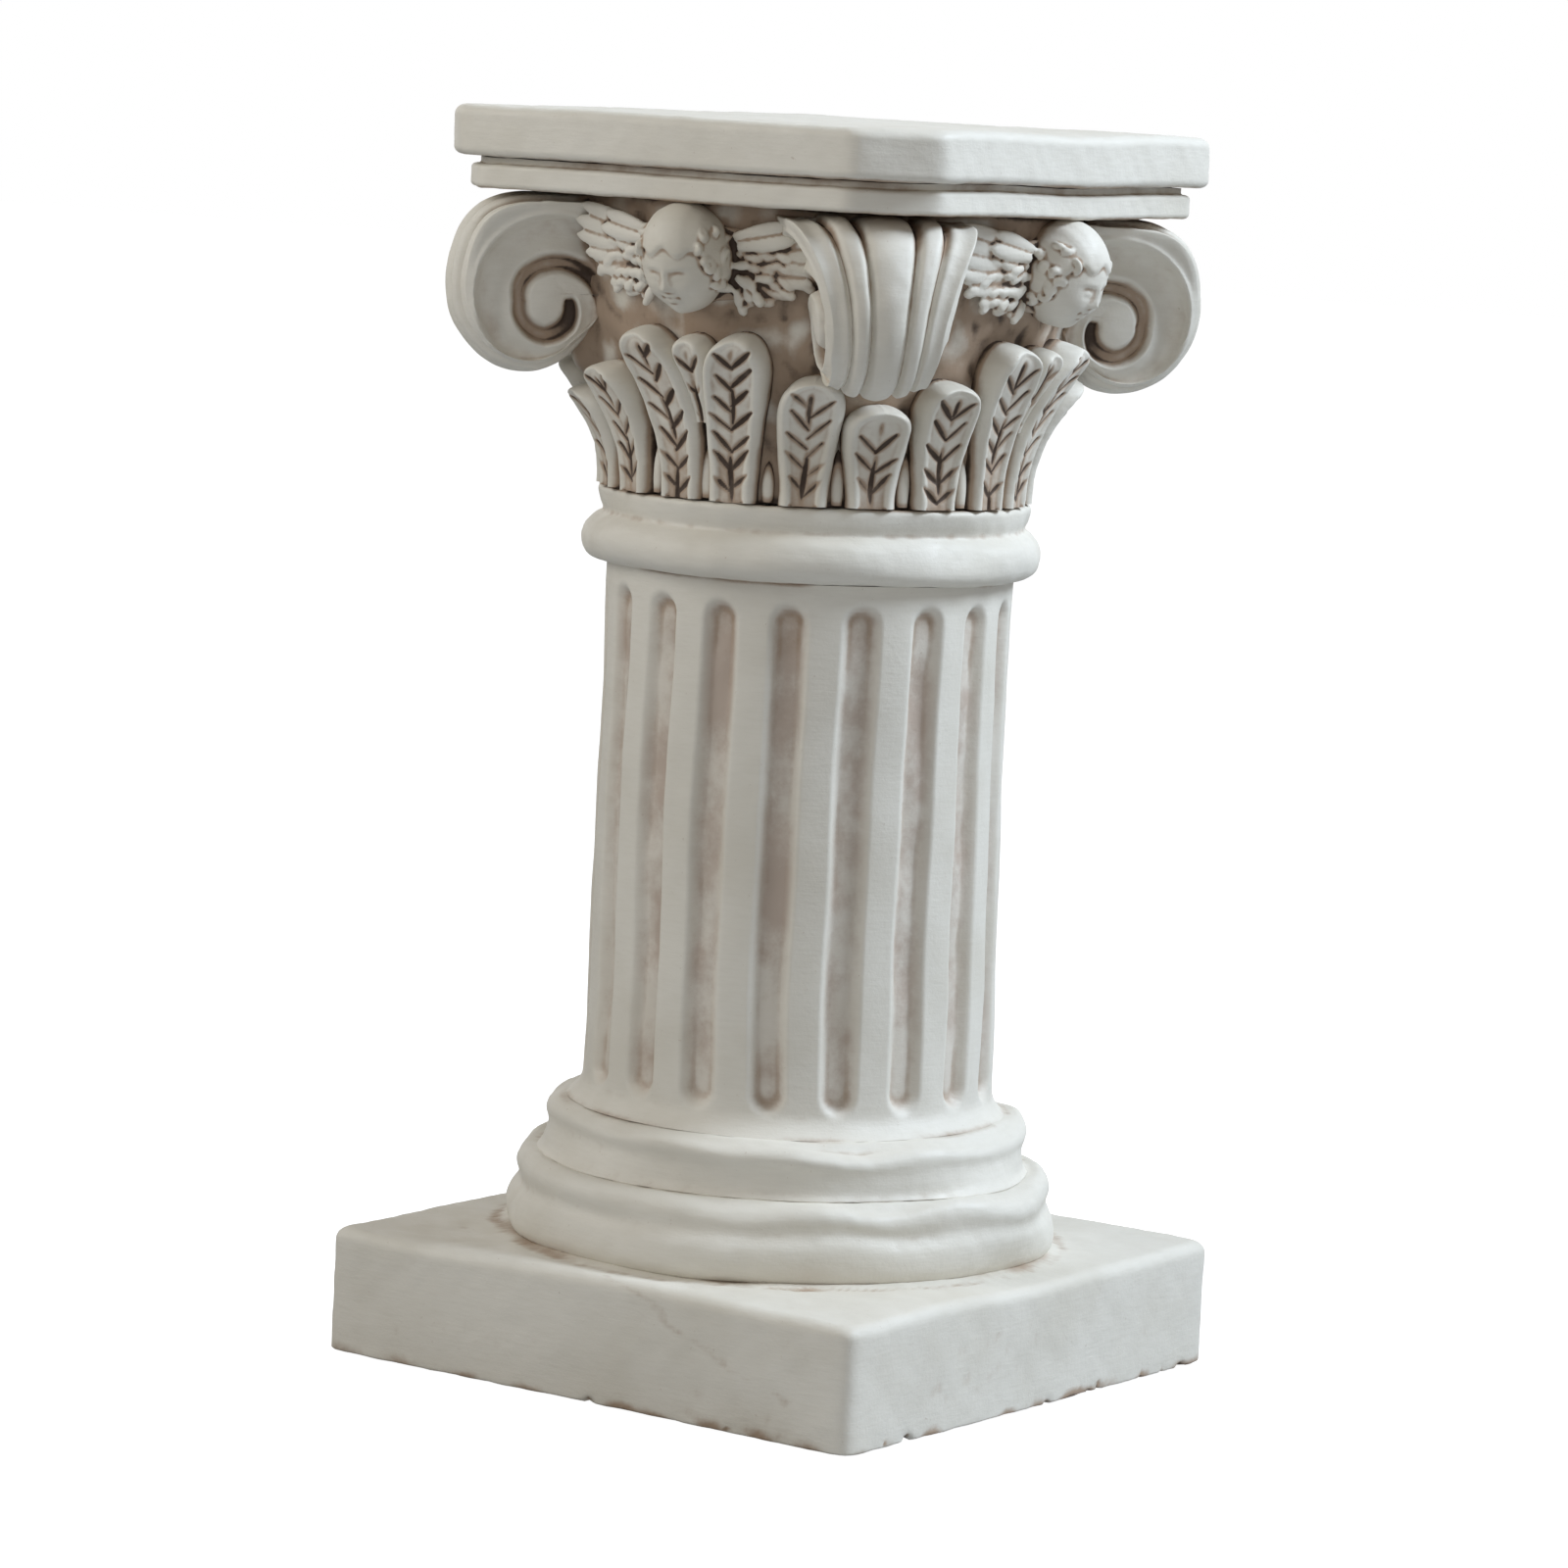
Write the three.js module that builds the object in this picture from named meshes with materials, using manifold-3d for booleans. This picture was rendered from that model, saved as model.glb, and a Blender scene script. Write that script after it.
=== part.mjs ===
// A small classical column stand: a square plinth, two torus rings, a fluted shaft, a neck ring, and a
// capital of leaves, corner scrolls and winged heads under a square top slab. The castings stack on
// round spigots and one steel rod clamps them together. The ornaments are bonded round the bell.
// Millimetres, +Z up. The origin is under the middle of the stand, on the surface it rests on.

import * as THREE from 'three';
import { mergeVertices } from 'three/addons/utils/BufferGeometryUtils.js';
import Module from 'manifold-3d';

const wasm = await Module();
wasm.setup();

// ---- Joints between the pieces ----
const JOINT = 0.3; // bed of adhesive or mortar between two castings
const SPIGOT_RADIUS = 24;
const SPIGOT_HEIGHT = 4;
const CORE_RADIUS = 13; // hollow core that the castings share

// ---- Tie rod with its nuts and washers ----
const ROD_RADIUS = 4;
const ROD_CLEARANCE = 0.3;
const ROD_END_PROUD = 1.8; // rod beyond each nut
const NUT_ACROSS_FLATS = 13;
const NUT_HEIGHT = 6.5;
const WASHER_RADIUS = 11;
const WASHER_THICKNESS = 1.6;
const POCKET_CLEARANCE = 2; // round the washer
const POCKET_COVER = 3.2; // between the rod's end and the mouth of its pocket

// ---- Plinth and its felt pads ----
const PLINTH_SIDE = 150;
const PLINTH_HEIGHT = 29.2;
const PLINTH_CORNER_RADIUS = 3;
const PLINTH_EDGE_ROUND = 2.4;
const PAD_RADIUS = 9;
const PAD_THICKNESS = 2;
const PAD_PROUD = 0.8; // felt below the plinth
const PAD_INSET = 18; // from the plinth's sides to a pad's middle

// ---- Torus rings ----
const LOWER_TORUS_RADIUS = 65.2;
const LOWER_TORUS_BULGE = 6.4;
const LOWER_TORUS_HEIGHT = 18.4;
const UPPER_TORUS_RADIUS = 56.5;
const UPPER_TORUS_BULGE = 4.6;
const UPPER_TORUS_HEIGHT = 12.6;
const BULGE_FULLNESS = 0.7; // 1 is a half circle, and less is fuller

// ---- Fluted shaft ----
const SHAFT_HEIGHT = 126.1;
const SHAFT_FOOT_RADIUS = 47.8;
const SHAFT_TOP_RADIUS = 47.1;
const SHAFT_FLARE = 3.4; // how far the foot spreads over the torus
const SHAFT_FLARE_HEIGHT = 5.4;
const FLUTE_COUNT = 18;
const FLUTE_RADIUS = 5;
const FLUTE_DEPTH = 2.6;
const FLARE_EASING = [0.25, 0.5]; // half way down the flare, as shares of its spread and its height
const FLUTE_FOOT_MARGIN = 4.7; // plain shaft below the flutes
const FLUTE_TOP_MARGIN = 4.6; // plain shaft above them

// ---- Neck ring ----
const ASTRAGAL_RADIUS = 53;
const ASTRAGAL_HEIGHT = 11.9;
const NECK_BAND_RADIUS = 50;
const NECK_BAND_HEIGHT = 5.2;
const NECK_BAND_UNDERCUT = 0.6; // where the band meets the astragal

// ---- Bell, the core of the capital ----
const BELL_NECK_RADIUS = 46.5;
const BELL_LIP_RADIUS = 58;
const BELL_WEB = 15; // under the top nut

// ---- Leaves round the bell; angles are from the middle of a face, in degrees ----
const ORNAMENT_TURN = 5; // the leaves and heads sit a little round from the slabs
const LEAF_WIDTH = 12.6;
const LEAF_BASE_FULLNESS = 0.8; // a leaf's width at its foot, as a share of its full width
const LEAF_FULL_FROM = 0.6; // share of its height at which a leaf reaches its full width
const LEAF_THICKNESS = 3.4;
const LEAF_TIP_THROW = 9; // how far a tip curls out
const LEAF_CURL = 2.4; // how late up the leaf it curls out, as a power
const LEAF_SIDE_ROUND = { from: 0.72, least: 0.35 }; // a leaf's width at its tip, as shares
const LEAF_TIP_ROUND = { from: 0.86, least: 0.4 }; // its thickness at its tip
const LEAF_ROW_CROWDING = 1.6; // rows of points crowd towards the tip, as a power
const LEAF_VEIN_DEPTH = 0.9;
const LEAF_GAP = 0.8; // between the back leaf and the tall pair
const TALL_LEAF_HEIGHT = 39;
const SHORT_LEAF_HEIGHT = 30;
const CORNER_LEAF_HEIGHT = 24;
const BACK_LEAF_DROP = 1; // its tip below the tall ones
const BACK_LEAF_START = 0.5; // share of its height that the tall pair hides
const BACK_LEAF_ROUND = { from: 0.8, least: 0.4 };
const TALL_LEAF_ANGLE = 7.8;
const TALL_LEAF_SPLAY = 5;
const SHORT_LEAF_ANGLE = 27;
const SHORT_LEAF_SPLAY = 1.5;

// ---- Winged heads ----
const HEAD_WIDTH = 22.4;
const HEAD_DEPTH = 21;
const HEAD_HEIGHT = 24;
const HEAD_REACH = 61; // from the axis to the middle of the head
const HEAD_ABOVE_LEAVES = 3.7;
const WING_SPAN = 62;
const WING_THICKNESS = 3.6;
const WING_ROOT_DEPTH = 17;
const WING_TIP_DEPTH = 9;
const WING_BELOW_SLAB = 1.5;
const WING_RISE = 2; // from the root up to the tip
const WING_SINK = 1; // into the bell, before the bell is cut away
const WING_SWEEP = 1.5; // how late along the wing it narrows, as a power

// ---- Corner scrolls ----
const VOLUTE_EYE_REACH = 68.4; // from the axis to the eye
const VOLUTE_RADIUS = 15.5; // where the last turn of the scroll begins
const VOLUTE_GROWTH = 1.67; // per turn
const VOLUTE_HEAD_WIDTH = 45;
const VOLUTE_FOOT_WIDTH = 23;
const GROOVE_RADIUS = 5.6; // where the groove leaves the eye
const GROOVE_GROWTH = 2.3; // per turn
const GROOVE_WIDTH = 2.4;
const GROOVE_DEPTH = 2.8;
const GROOVE_TURNS = 1.1;
const EDGE_FLUTE_DEPTH = 1.8;
const EDGE_FLUTES = [[0.28, 0.38], [0.62, 0.72]]; // as shares of the half width, on both sides
const EDGE_FLUTE_TURNS = [1.15, 1.78]; // from under the foot to the slab
const TOP_TURN = 0.75; // share of a turn from the side next to the bell up to the slab
const SOLE_TURN = 0.25; // and down to the scroll's lowest point

// ---- Slabs of the abacus ----
const ABACUS_SIDE = 138;
const ABACUS_CHAMFER = 14.7;
const ABACUS_TOP_HEIGHT = 11.7;
const ABACUS_EDGE_ROUND = 1.6;
const LOWER_SLAB_INSET = 3;
const LOWER_SLAB_HEIGHT = 7;
const LOWER_SLAB_GROOVE = 1.8; // height of the recess under the top slab
const LOWER_SLAB_GROOVE_INSET = 1.6;
const LOWER_SLAB_ROUND = 1;

// ---- Facets ----
const ROUND_STEPS = 36; // a whole number of steps for each flute
const SMALL_ROUND_STEPS = 18;
const BULGE_STEPS = 6;
const BELL_STEPS = 8;
const SCROLL_STEPS = 14; // per turn
const LEAF_ROWS = 6;
const CORNER_STEPS = 3;
const FLUTE_STEPS = 10;
const FLUTE_END_STEPS = 2;
const HEAD_STEPS = [12, 8];

// ---- Levels, worked out from the heights above ----
const plinthFoot = PAD_PROUD;
const plinthTop = plinthFoot + PLINTH_HEIGHT;
const lowerTorusFoot = plinthTop + JOINT;
const lowerTorusTop = lowerTorusFoot + LOWER_TORUS_HEIGHT;
const upperTorusFoot = lowerTorusTop + JOINT;
const upperTorusTop = upperTorusFoot + UPPER_TORUS_HEIGHT;
const shaftFoot = upperTorusTop + JOINT;
const shaftTop = shaftFoot + SHAFT_HEIGHT;
const neckFoot = shaftTop + JOINT;
const neckTop = neckFoot + ASTRAGAL_HEIGHT + NECK_BAND_HEIGHT;
const bellFoot = neckTop + JOINT;
const headFoot = bellFoot + TALL_LEAF_HEIGHT + HEAD_ABOVE_LEAVES;
const bellTop = headFoot + HEAD_HEIGHT;
const lowerSlabFoot = bellTop + JOINT;
const lowerSlabTop = lowerSlabFoot + LOWER_SLAB_HEIGHT;
const topSlabFoot = lowerSlabTop + JOINT;
const topSlabTop = topSlabFoot + ABACUS_TOP_HEIGHT;

// The two slabs share one round hole: the bell's spigot fills its lower part and the top slab's the rest.
const slabSpigotHeight = (LOWER_SLAB_HEIGHT - JOINT) / 2;
const rodHoleRadius = ROD_RADIUS + ROD_CLEARANCE;
const pocketRadius = WASHER_RADIUS + POCKET_CLEARANCE;
const pocketDepth = POCKET_COVER + ROD_END_PROUD + NUT_HEIGHT + WASHER_THICKNESS + 2 * JOINT;
const volutePeak = VOLUTE_RADIUS * VOLUTE_GROWTH ** TOP_TURN;
const voluteEyeLevel = bellTop - volutePeak;
const voluteSole = voluteEyeLevel - VOLUTE_RADIUS * VOLUTE_GROWTH ** SOLE_TURN;

// ---- Finishes ----
const plaster = { color: 0xd9d8cd, roughness: 0.62, metalness: 0 };
const washedPlaster = { color: 0xc9c0b4, roughness: 0.7, metalness: 0 };
const steel = { color: 0x9a9ea3, roughness: 0.35, metalness: 1 };
const felt = { color: 0x3d4a3f, roughness: 1, metalness: 0 };

// ---- Solids ----

// A closed geometry as a solid, with its faces turned outwards.
function solidOf(geometry) {
  const plain = geometry.clone();
  plain.deleteAttribute('normal');
  plain.deleteAttribute('uv');
  const merged = mergeVertices(plain, 1e-4);
  const points = merged.attributes.position;
  const corner = (index) => new THREE.Vector3().fromBufferAttribute(points, index);
  const triangles = [];
  let volume = 0;
  for (let i = 0; i < merged.index.count; i += 3) {
    const [a, b, c] = [0, 1, 2].map((k) => merged.index.getX(i + k));
    if (a === b || b === c || c === a) {
      continue;
    }
    volume += corner(a).dot(corner(b).cross(corner(c)));
    triangles.push(a, b, c);
  }
  if (volume < 0) {
    triangles.reverse();
  }
  const mesh = new wasm.Mesh({
    numProp: 3,
    vertProperties: new Float32Array(points.array),
    triVerts: new Uint32Array(triangles),
  });
  return new wasm.Manifold(mesh);
}

function geometryOf(solid) {
  const mesh = solid.getMesh();
  const geometry = new THREE.BufferGeometry();
  geometry.setAttribute('position', new THREE.BufferAttribute(mesh.vertProperties, 3));
  geometry.setIndex(new THREE.BufferAttribute(mesh.triVerts, 1));
  geometry.computeVertexNormals();
  return geometry;
}

const cutBy = (solid, cutters) => cutters.reduce((left, cutter) => left.subtract(cutter), solid);
const joined = (solids) => solids.reduce((all, solid) => all.add(solid));

// Turns a closed outline of [radius, height] pairs round the Z axis.
function turned(outline, steps = ROUND_STEPS) {
  const closed = [...outline, outline[0]];
  const profile = closed.map(([radius, height]) => new THREE.Vector2(radius, height));
  return new THREE.LatheGeometry(profile, steps).rotateX(Math.PI / 2);
}

function disc(radius, foot, top, steps = SMALL_ROUND_STEPS) {
  const geometry = new THREE.CylinderGeometry(radius, radius, top - foot, steps).rotateX(Math.PI / 2);
  return geometry.translate(0, 0, (foot + top) / 2);
}

// Extrudes an outline from one level to another, with rounded edges.
function slab(outline, foot, top, round) {
  const options = { depth: top - foot - 2 * round, bevelEnabled: round > 0, bevelSegments: 2 };
  Object.assign(options, { bevelThickness: round, bevelSize: round, bevelOffset: -round });
  options.curveSegments = CORNER_STEPS;
  return new THREE.ExtrudeGeometry(outline, options).translate(0, 0, foot + round);
}

function radians(degrees) {
  return THREE.MathUtils.degToRad(degrees);
}

// ---- Outlines ----

function roundedSquare(side, radius) {
  const half = side / 2;
  const shape = new THREE.Shape();
  for (let quarter = 0; quarter < 4; quarter += 1) {
    const middle = new THREE.Vector2(half - radius, half - radius);
    middle.rotateAround(new THREE.Vector2(), quarter * Math.PI / 2);
    const start = quarter * Math.PI / 2;
    shape.absarc(middle.x, middle.y, radius, start, start + Math.PI / 2, false);
  }
  return shape;
}

function chamferedSquare(side, chamfer) {
  const half = side / 2;
  const points = [];
  for (let quarter = 0; quarter < 4; quarter += 1) {
    for (const [x, y] of [[half, half - chamfer], [half - chamfer, half]]) {
      points.push(new THREE.Vector2(x, y).rotateAround(new THREE.Vector2(), quarter * Math.PI / 2));
    }
  }
  return new THREE.Shape(points);
}

// A full, slightly flattened torus face from one level to another, as [radius, height] pairs.
function bulge(radius, depth, foot, top) {
  const middle = (foot + top) / 2;
  const points = [];
  for (let i = 0; i <= BULGE_STEPS; i += 1) {
    const angle = (i / BULGE_STEPS - 0.5) * Math.PI;
    const swell = Math.max(Math.cos(angle), 0) ** BULGE_FULLNESS;
    points.push([radius - depth * (1 - swell), middle + Math.sin(angle) * (top - foot) / 2]);
  }
  return points;
}

// The inside of a stacked casting: a socket below, the shared core and a spigot above.
function stackedOutline(face, foot, top) {
  const ceiling = foot + SPIGOT_HEIGHT + JOINT;
  const wall = SPIGOT_RADIUS + JOINT;
  const socket = [[CORE_RADIUS, ceiling], [wall, ceiling], [wall, foot]];
  const head = top + SPIGOT_HEIGHT;
  const spigot = [[SPIGOT_RADIUS, top], [SPIGOT_RADIUS, head], [CORE_RADIUS, head]];
  return [...socket, ...face, ...spigot];
}

function bellRadius(level) {
  const share = THREE.MathUtils.clamp((level - bellFoot) / (bellTop - bellFoot), 0, 1);
  return THREE.MathUtils.lerp(BELL_NECK_RADIUS, BELL_LIP_RADIUS, Math.sin(share * Math.PI / 2) ** 2);
}

function bellFace(clearance = 0) {
  const points = [];
  for (let i = 0; i <= BELL_STEPS; i += 1) {
    const level = THREE.MathUtils.lerp(bellFoot, bellTop, i / BELL_STEPS);
    points.push([bellRadius(level) + clearance, level]);
  }
  return points;
}

// ---- Base ----

function plinth() {
  const rounded = roundedSquare(PLINTH_SIDE, PLINTH_CORNER_RADIUS);
  const sunk = plinthFoot - 2 * PLINTH_EDGE_ROUND;
  const block = solidOf(slab(rounded, sunk, plinthTop, PLINTH_EDGE_ROUND));
  const spigotHead = plinthTop + SPIGOT_HEIGHT;
  const spigot = solidOf(disc(SPIGOT_RADIUS, plinthTop - SPIGOT_HEIGHT, spigotHead, ROUND_STEPS));
  const below = new THREE.BoxGeometry(2 * PLINTH_SIDE, 2 * PLINTH_SIDE, PLINTH_SIDE);
  below.translate(0, 0, plinthFoot - PLINTH_SIDE / 2);
  const rodHole = disc(rodHoleRadius, plinthFoot - 1, spigotHead + 1);
  const nutPocket = disc(pocketRadius, plinthFoot - 1, plinthFoot + pocketDepth);
  const padPockets = padPlaces().map(([x, y]) => {
    const pocket = disc(PAD_RADIUS + JOINT, plinthFoot - 1, PAD_THICKNESS + JOINT);
    return pocket.translate(x, y, 0);
  });
  return cutBy(block.add(spigot), [below, rodHole, nutPocket, ...padPockets].map(solidOf));
}

function padPlaces() {
  const out = PLINTH_SIDE / 2 - PAD_INSET;
  return [[-out, -out], [out, -out], [out, out], [-out, out]];
}

function lowerTorus() {
  const face = bulge(LOWER_TORUS_RADIUS, LOWER_TORUS_BULGE, lowerTorusFoot, lowerTorusTop);
  return solidOf(turned(stackedOutline(face, lowerTorusFoot, lowerTorusTop)));
}

function upperTorus() {
  const face = bulge(UPPER_TORUS_RADIUS, UPPER_TORUS_BULGE, upperTorusFoot, upperTorusTop);
  return solidOf(turned(stackedOutline(face, upperTorusFoot, upperTorusTop)));
}

// ---- Shaft ----

function flute() {
  const foot = shaftFoot + FLUTE_FOOT_MARGIN;
  const length = shaftTop - FLUTE_TOP_MARGIN - foot - 2 * FLUTE_RADIUS;
  const out = (SHAFT_FOOT_RADIUS + SHAFT_TOP_RADIUS) / 2 + FLUTE_RADIUS - FLUTE_DEPTH;
  const capsule = new THREE.CapsuleGeometry(FLUTE_RADIUS, length, FLUTE_END_STEPS, FLUTE_STEPS);
  return capsule.rotateX(Math.PI / 2).translate(out, 0, foot + FLUTE_RADIUS + length / 2);
}

function shaft() {
  const flareTop = shaftFoot + SHAFT_FLARE_HEIGHT;
  const spread = SHAFT_FOOT_RADIUS + SHAFT_FLARE;
  const [spreadShare, heightShare] = FLARE_EASING;
  const easing = [
    SHAFT_FOOT_RADIUS + SHAFT_FLARE * spreadShare,
    shaftFoot + SHAFT_FLARE_HEIGHT * heightShare,
  ];
  const face = [[spread, shaftFoot], easing, [SHAFT_FOOT_RADIUS, flareTop], [SHAFT_TOP_RADIUS, shaftTop]];
  const body = solidOf(turned(stackedOutline(face, shaftFoot, shaftTop)));
  const flutes = [];
  for (let i = 0; i < FLUTE_COUNT; i += 1) {
    flutes.push(solidOf(flute().rotateZ(2 * Math.PI * i / FLUTE_COUNT)));
  }
  return cutBy(body, flutes);
}

// ---- Neck ring and bell ----

function neckRing() {
  const astragalTop = neckFoot + ASTRAGAL_HEIGHT;
  const depth = ASTRAGAL_RADIUS - SHAFT_TOP_RADIUS;
  const bead = bulge(ASTRAGAL_RADIUS, depth, neckFoot, astragalTop);
  const face = bead.filter(([radius, level]) => radius > NECK_BAND_RADIUS || level < astragalTop - 1);
  face.push([NECK_BAND_RADIUS - NECK_BAND_UNDERCUT, astragalTop]);
  face.push([NECK_BAND_RADIUS, neckTop]);
  return solidOf(turned(stackedOutline(face, neckFoot, neckTop)));
}

function bell() {
  const ceiling = bellFoot + SPIGOT_HEIGHT + JOINT;
  const head = bellTop + slabSpigotHeight;
  const pocketFloor = head - pocketDepth;
  const outline = [
    [rodHoleRadius, pocketFloor - BELL_WEB],
    [CORE_RADIUS, pocketFloor - BELL_WEB],
    [CORE_RADIUS, ceiling],
    [SPIGOT_RADIUS + JOINT, ceiling],
    [SPIGOT_RADIUS + JOINT, bellFoot],
    ...bellFace(),
    [SPIGOT_RADIUS, bellTop],
    [SPIGOT_RADIUS, head],
    [pocketRadius, head],
    [pocketRadius, pocketFloor],
    [rodHoleRadius, pocketFloor],
  ];
  return solidOf(turned(outline));
}

// The space that the bell takes, with the adhesive bed round it.
function bellSpace() {
  const face = bellFace(JOINT);
  const [below, above] = [bellFoot - 1, bellTop + 1];
  const neck = bellRadius(bellFoot) + JOINT;
  const lip = bellRadius(bellTop) + JOINT;
  return solidOf(turned([[0, below], [neck, below], ...face, [lip, above], [0, above]]));
}

// ---- Corner scrolls, made with the diagonal along +X ----

// A point on a spiral round the eye. Whole turns bring it back to the side next to the bell.
function scrollPoint(radius, turns) {
  const angle = Math.PI + 2 * Math.PI * turns;
  const eye = new THREE.Vector2(VOLUTE_EYE_REACH, voluteEyeLevel);
  return eye.add(new THREE.Vector2(Math.cos(angle), Math.sin(angle)).multiplyScalar(radius));
}

const scrollRadius = (turns) => VOLUTE_RADIUS * VOLUTE_GROWTH ** (turns - 1);
const grooveRadius = (turns) => GROOVE_RADIUS * GROOVE_GROWTH ** turns;

function spiral(radiusAt, from, to) {
  const steps = Math.round((to - from) * SCROLL_STEPS);
  return Array.from({ length: steps + 1 }, (_, i) => {
    const turn = THREE.MathUtils.lerp(from, to, i / steps);
    return scrollPoint(radiusAt(turn), turn);
  });
}

// The strip between two spirals.
function spiralStrip(innerAt, outerAt, from, to) {
  return new THREE.Shape([...spiral(outerAt, from, to), ...spiral(innerAt, from, to).reverse()]);
}

// Extrudes a drawing of the scroll's side between two shares of its half width.
function acrossScroll(shape, from, to) {
  const geometry = new THREE.ExtrudeGeometry(shape, { depth: to - from, bevelEnabled: false });
  return geometry.translate(0, 0, from).rotateX(Math.PI / 2);
}

// The scroll narrows towards its foot: spreads shares of the half width to millimetres.
function taperScroll(geometry, growth = 0) {
  const points = geometry.attributes.position;
  for (let i = 0; i < points.count; i += 1) {
    const share = (points.getZ(i) - voluteSole) / (bellTop - voluteSole);
    const half = THREE.MathUtils.lerp(VOLUTE_FOOT_WIDTH, VOLUTE_HEAD_WIDTH, share) / 2 + growth;
    points.setY(i, points.getY(i) * half);
  }
  return geometry;
}

function scrollBody(growth = 0) {
  const outline = spiral((turn) => scrollRadius(turn) + growth, 1, 1 + TOP_TURN);
  const root = HEAD_REACH - HEAD_DEPTH;
  outline.push(new THREE.Vector2(root, bellTop + growth));
  outline.push(new THREE.Vector2(root, voluteEyeLevel));
  return acrossScroll(new THREE.Shape(outline), -1, 1);
}

function scrollGrooves() {
  const inner = (turn) => grooveRadius(turn) - GROOVE_WIDTH / 2;
  const outer = (turn) => grooveRadius(turn) + GROOVE_WIDTH / 2;
  const strip = spiralStrip(inner, outer, 0, GROOVE_TURNS);
  const floor = 1 - 2 * GROOVE_DEPTH / ((VOLUTE_FOOT_WIDTH + VOLUTE_HEAD_WIDTH) / 2);
  return [acrossScroll(strip, floor, 2), acrossScroll(strip, -2, -floor)];
}

function edgeFlutes() {
  const floor = (turn) => scrollRadius(turn) - EDGE_FLUTE_DEPTH;
  const beyond = (turn) => scrollRadius(turn) + EDGE_FLUTE_DEPTH;
  const strip = spiralStrip(floor, beyond, ...EDGE_FLUTE_TURNS);
  const spans = EDGE_FLUTES.flatMap(([from, to]) => [[from, to], [-to, -from]]);
  return spans.map(([from, to]) => acrossScroll(strip, from, to));
}

function volute(bellRoom) {
  const cutters = [...scrollGrooves(), ...edgeFlutes()].map(solidOf);
  const carved = geometryOf(cutBy(solidOf(scrollBody()), cutters));
  return solidOf(taperScroll(carved)).subtract(bellRoom);
}

// The space that a scroll takes, with its bed, turned to the corner at the given angle.
function voluteSpace(angle) {
  return solidOf(taperScroll(scrollBody(JOINT), JOINT).rotateZ(radians(angle)));
}

// ---- Leaves, each made round the +X direction ----

// The share of its full width that a leaf has on its way up, before its tip is rounded.
function leafFullness(share) {
  const run = Math.min(share / LEAF_FULL_FROM, 1);
  return THREE.MathUtils.lerp(LEAF_BASE_FULLNESS, 1, Math.sin(run * Math.PI / 2));
}

// Rounds off the end of a leaf: 1 below the given share of its height, and falling to the least value.
function roundEnd(share, { from, least }) {
  const run = Math.max(share - from, 0) / (1 - from);
  return Math.sqrt(Math.max(1 - run ** 2, least ** 2));
}

function leafHalfWidth(share) {
  return LEAF_WIDTH / 2 * leafFullness(share) * roundEnd(share, LEAF_SIDE_ROUND);
}

const splayAt = (share, splay) => splay * share ** 2;

// How far out a leaf's face stands at a share of its height.
function leafDepth(share) {
  return (LEAF_THICKNESS + LEAF_TIP_THROW * share ** LEAF_CURL) * roundEnd(share, LEAF_TIP_ROUND);
}

// Bends a box into a leaf on the bell, from one share of its height to its tip.
function leafOf(height, splay, halfWidth, from = 0) {
  const geometry = new THREE.BoxGeometry(1, 2, 1, 1, 2, LEAF_ROWS);
  const points = geometry.attributes.position;
  for (let i = 0; i < points.count; i += 1) {
    const row = points.getZ(i) + 0.5;
    const share = THREE.MathUtils.lerp(from, 1, 1 - (1 - row) ** LEAF_ROW_CROWDING);
    const level = bellFoot + height * share;
    const back = bellRadius(level) + JOINT;
    const across = points.getY(i);
    const vein = across === 0 ? LEAF_VEIN_DEPTH : 0;
    const radius = points.getX(i) < 0 ? back : back + leafDepth(share) - vein;
    const angle = radians(splayAt(share, splay)) + across * halfWidth(share) / back;
    points.setXYZ(i, radius * Math.cos(angle), radius * Math.sin(angle), level);
  }
  return geometry;
}

// The back leaf fills the space that the tall pair leaves between them.
function backLeafHalfWidth(share) {
  const height = TALL_LEAF_HEIGHT - BACK_LEAF_DROP;
  const tallShare = share * height / TALL_LEAF_HEIGHT;
  const back = bellRadius(bellFoot + height * share) + JOINT;
  const tallMiddle = radians(TALL_LEAF_ANGLE + splayAt(tallShare, TALL_LEAF_SPLAY)) * back;
  const room = tallMiddle - LEAF_WIDTH / 2 * leafFullness(tallShare) - LEAF_GAP;
  return room * roundEnd(share, BACK_LEAF_ROUND);
}

function leafPlan() {
  const backHeight = TALL_LEAF_HEIGHT - BACK_LEAF_DROP;
  const plan = [
    { name: 'corner_leaf', angle: 45, geometry: leafOf(CORNER_LEAF_HEIGHT, 0, leafHalfWidth) },
    {
      name: 'back_leaf',
      angle: 0,
      geometry: leafOf(backHeight, 0, backLeafHalfWidth, BACK_LEAF_START),
    },
  ];
  for (const [side, hand] of [[-1, 'left'], [1, 'right']]) {
    const tall = leafOf(TALL_LEAF_HEIGHT, side * TALL_LEAF_SPLAY, leafHalfWidth);
    const short = leafOf(SHORT_LEAF_HEIGHT, side * SHORT_LEAF_SPLAY, leafHalfWidth);
    plan.push({ name: `${hand}_tall_leaf`, angle: side * TALL_LEAF_ANGLE, geometry: tall });
    plan.push({ name: `${hand}_short_leaf`, angle: side * SHORT_LEAF_ANGLE, geometry: short });
  }
  return plan;
}

// ---- Winged heads, made with the middle of the face along +X ----

function head() {
  const level = headFoot + HEAD_HEIGHT / 2;
  const skull = new THREE.SphereGeometry(0.5, ...HEAD_STEPS).rotateX(Math.PI / 2);
  skull.scale(HEAD_DEPTH, HEAD_WIDTH, HEAD_HEIGHT - JOINT);
  return solidOf(skull.translate(HEAD_REACH, 0, level));
}

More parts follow.
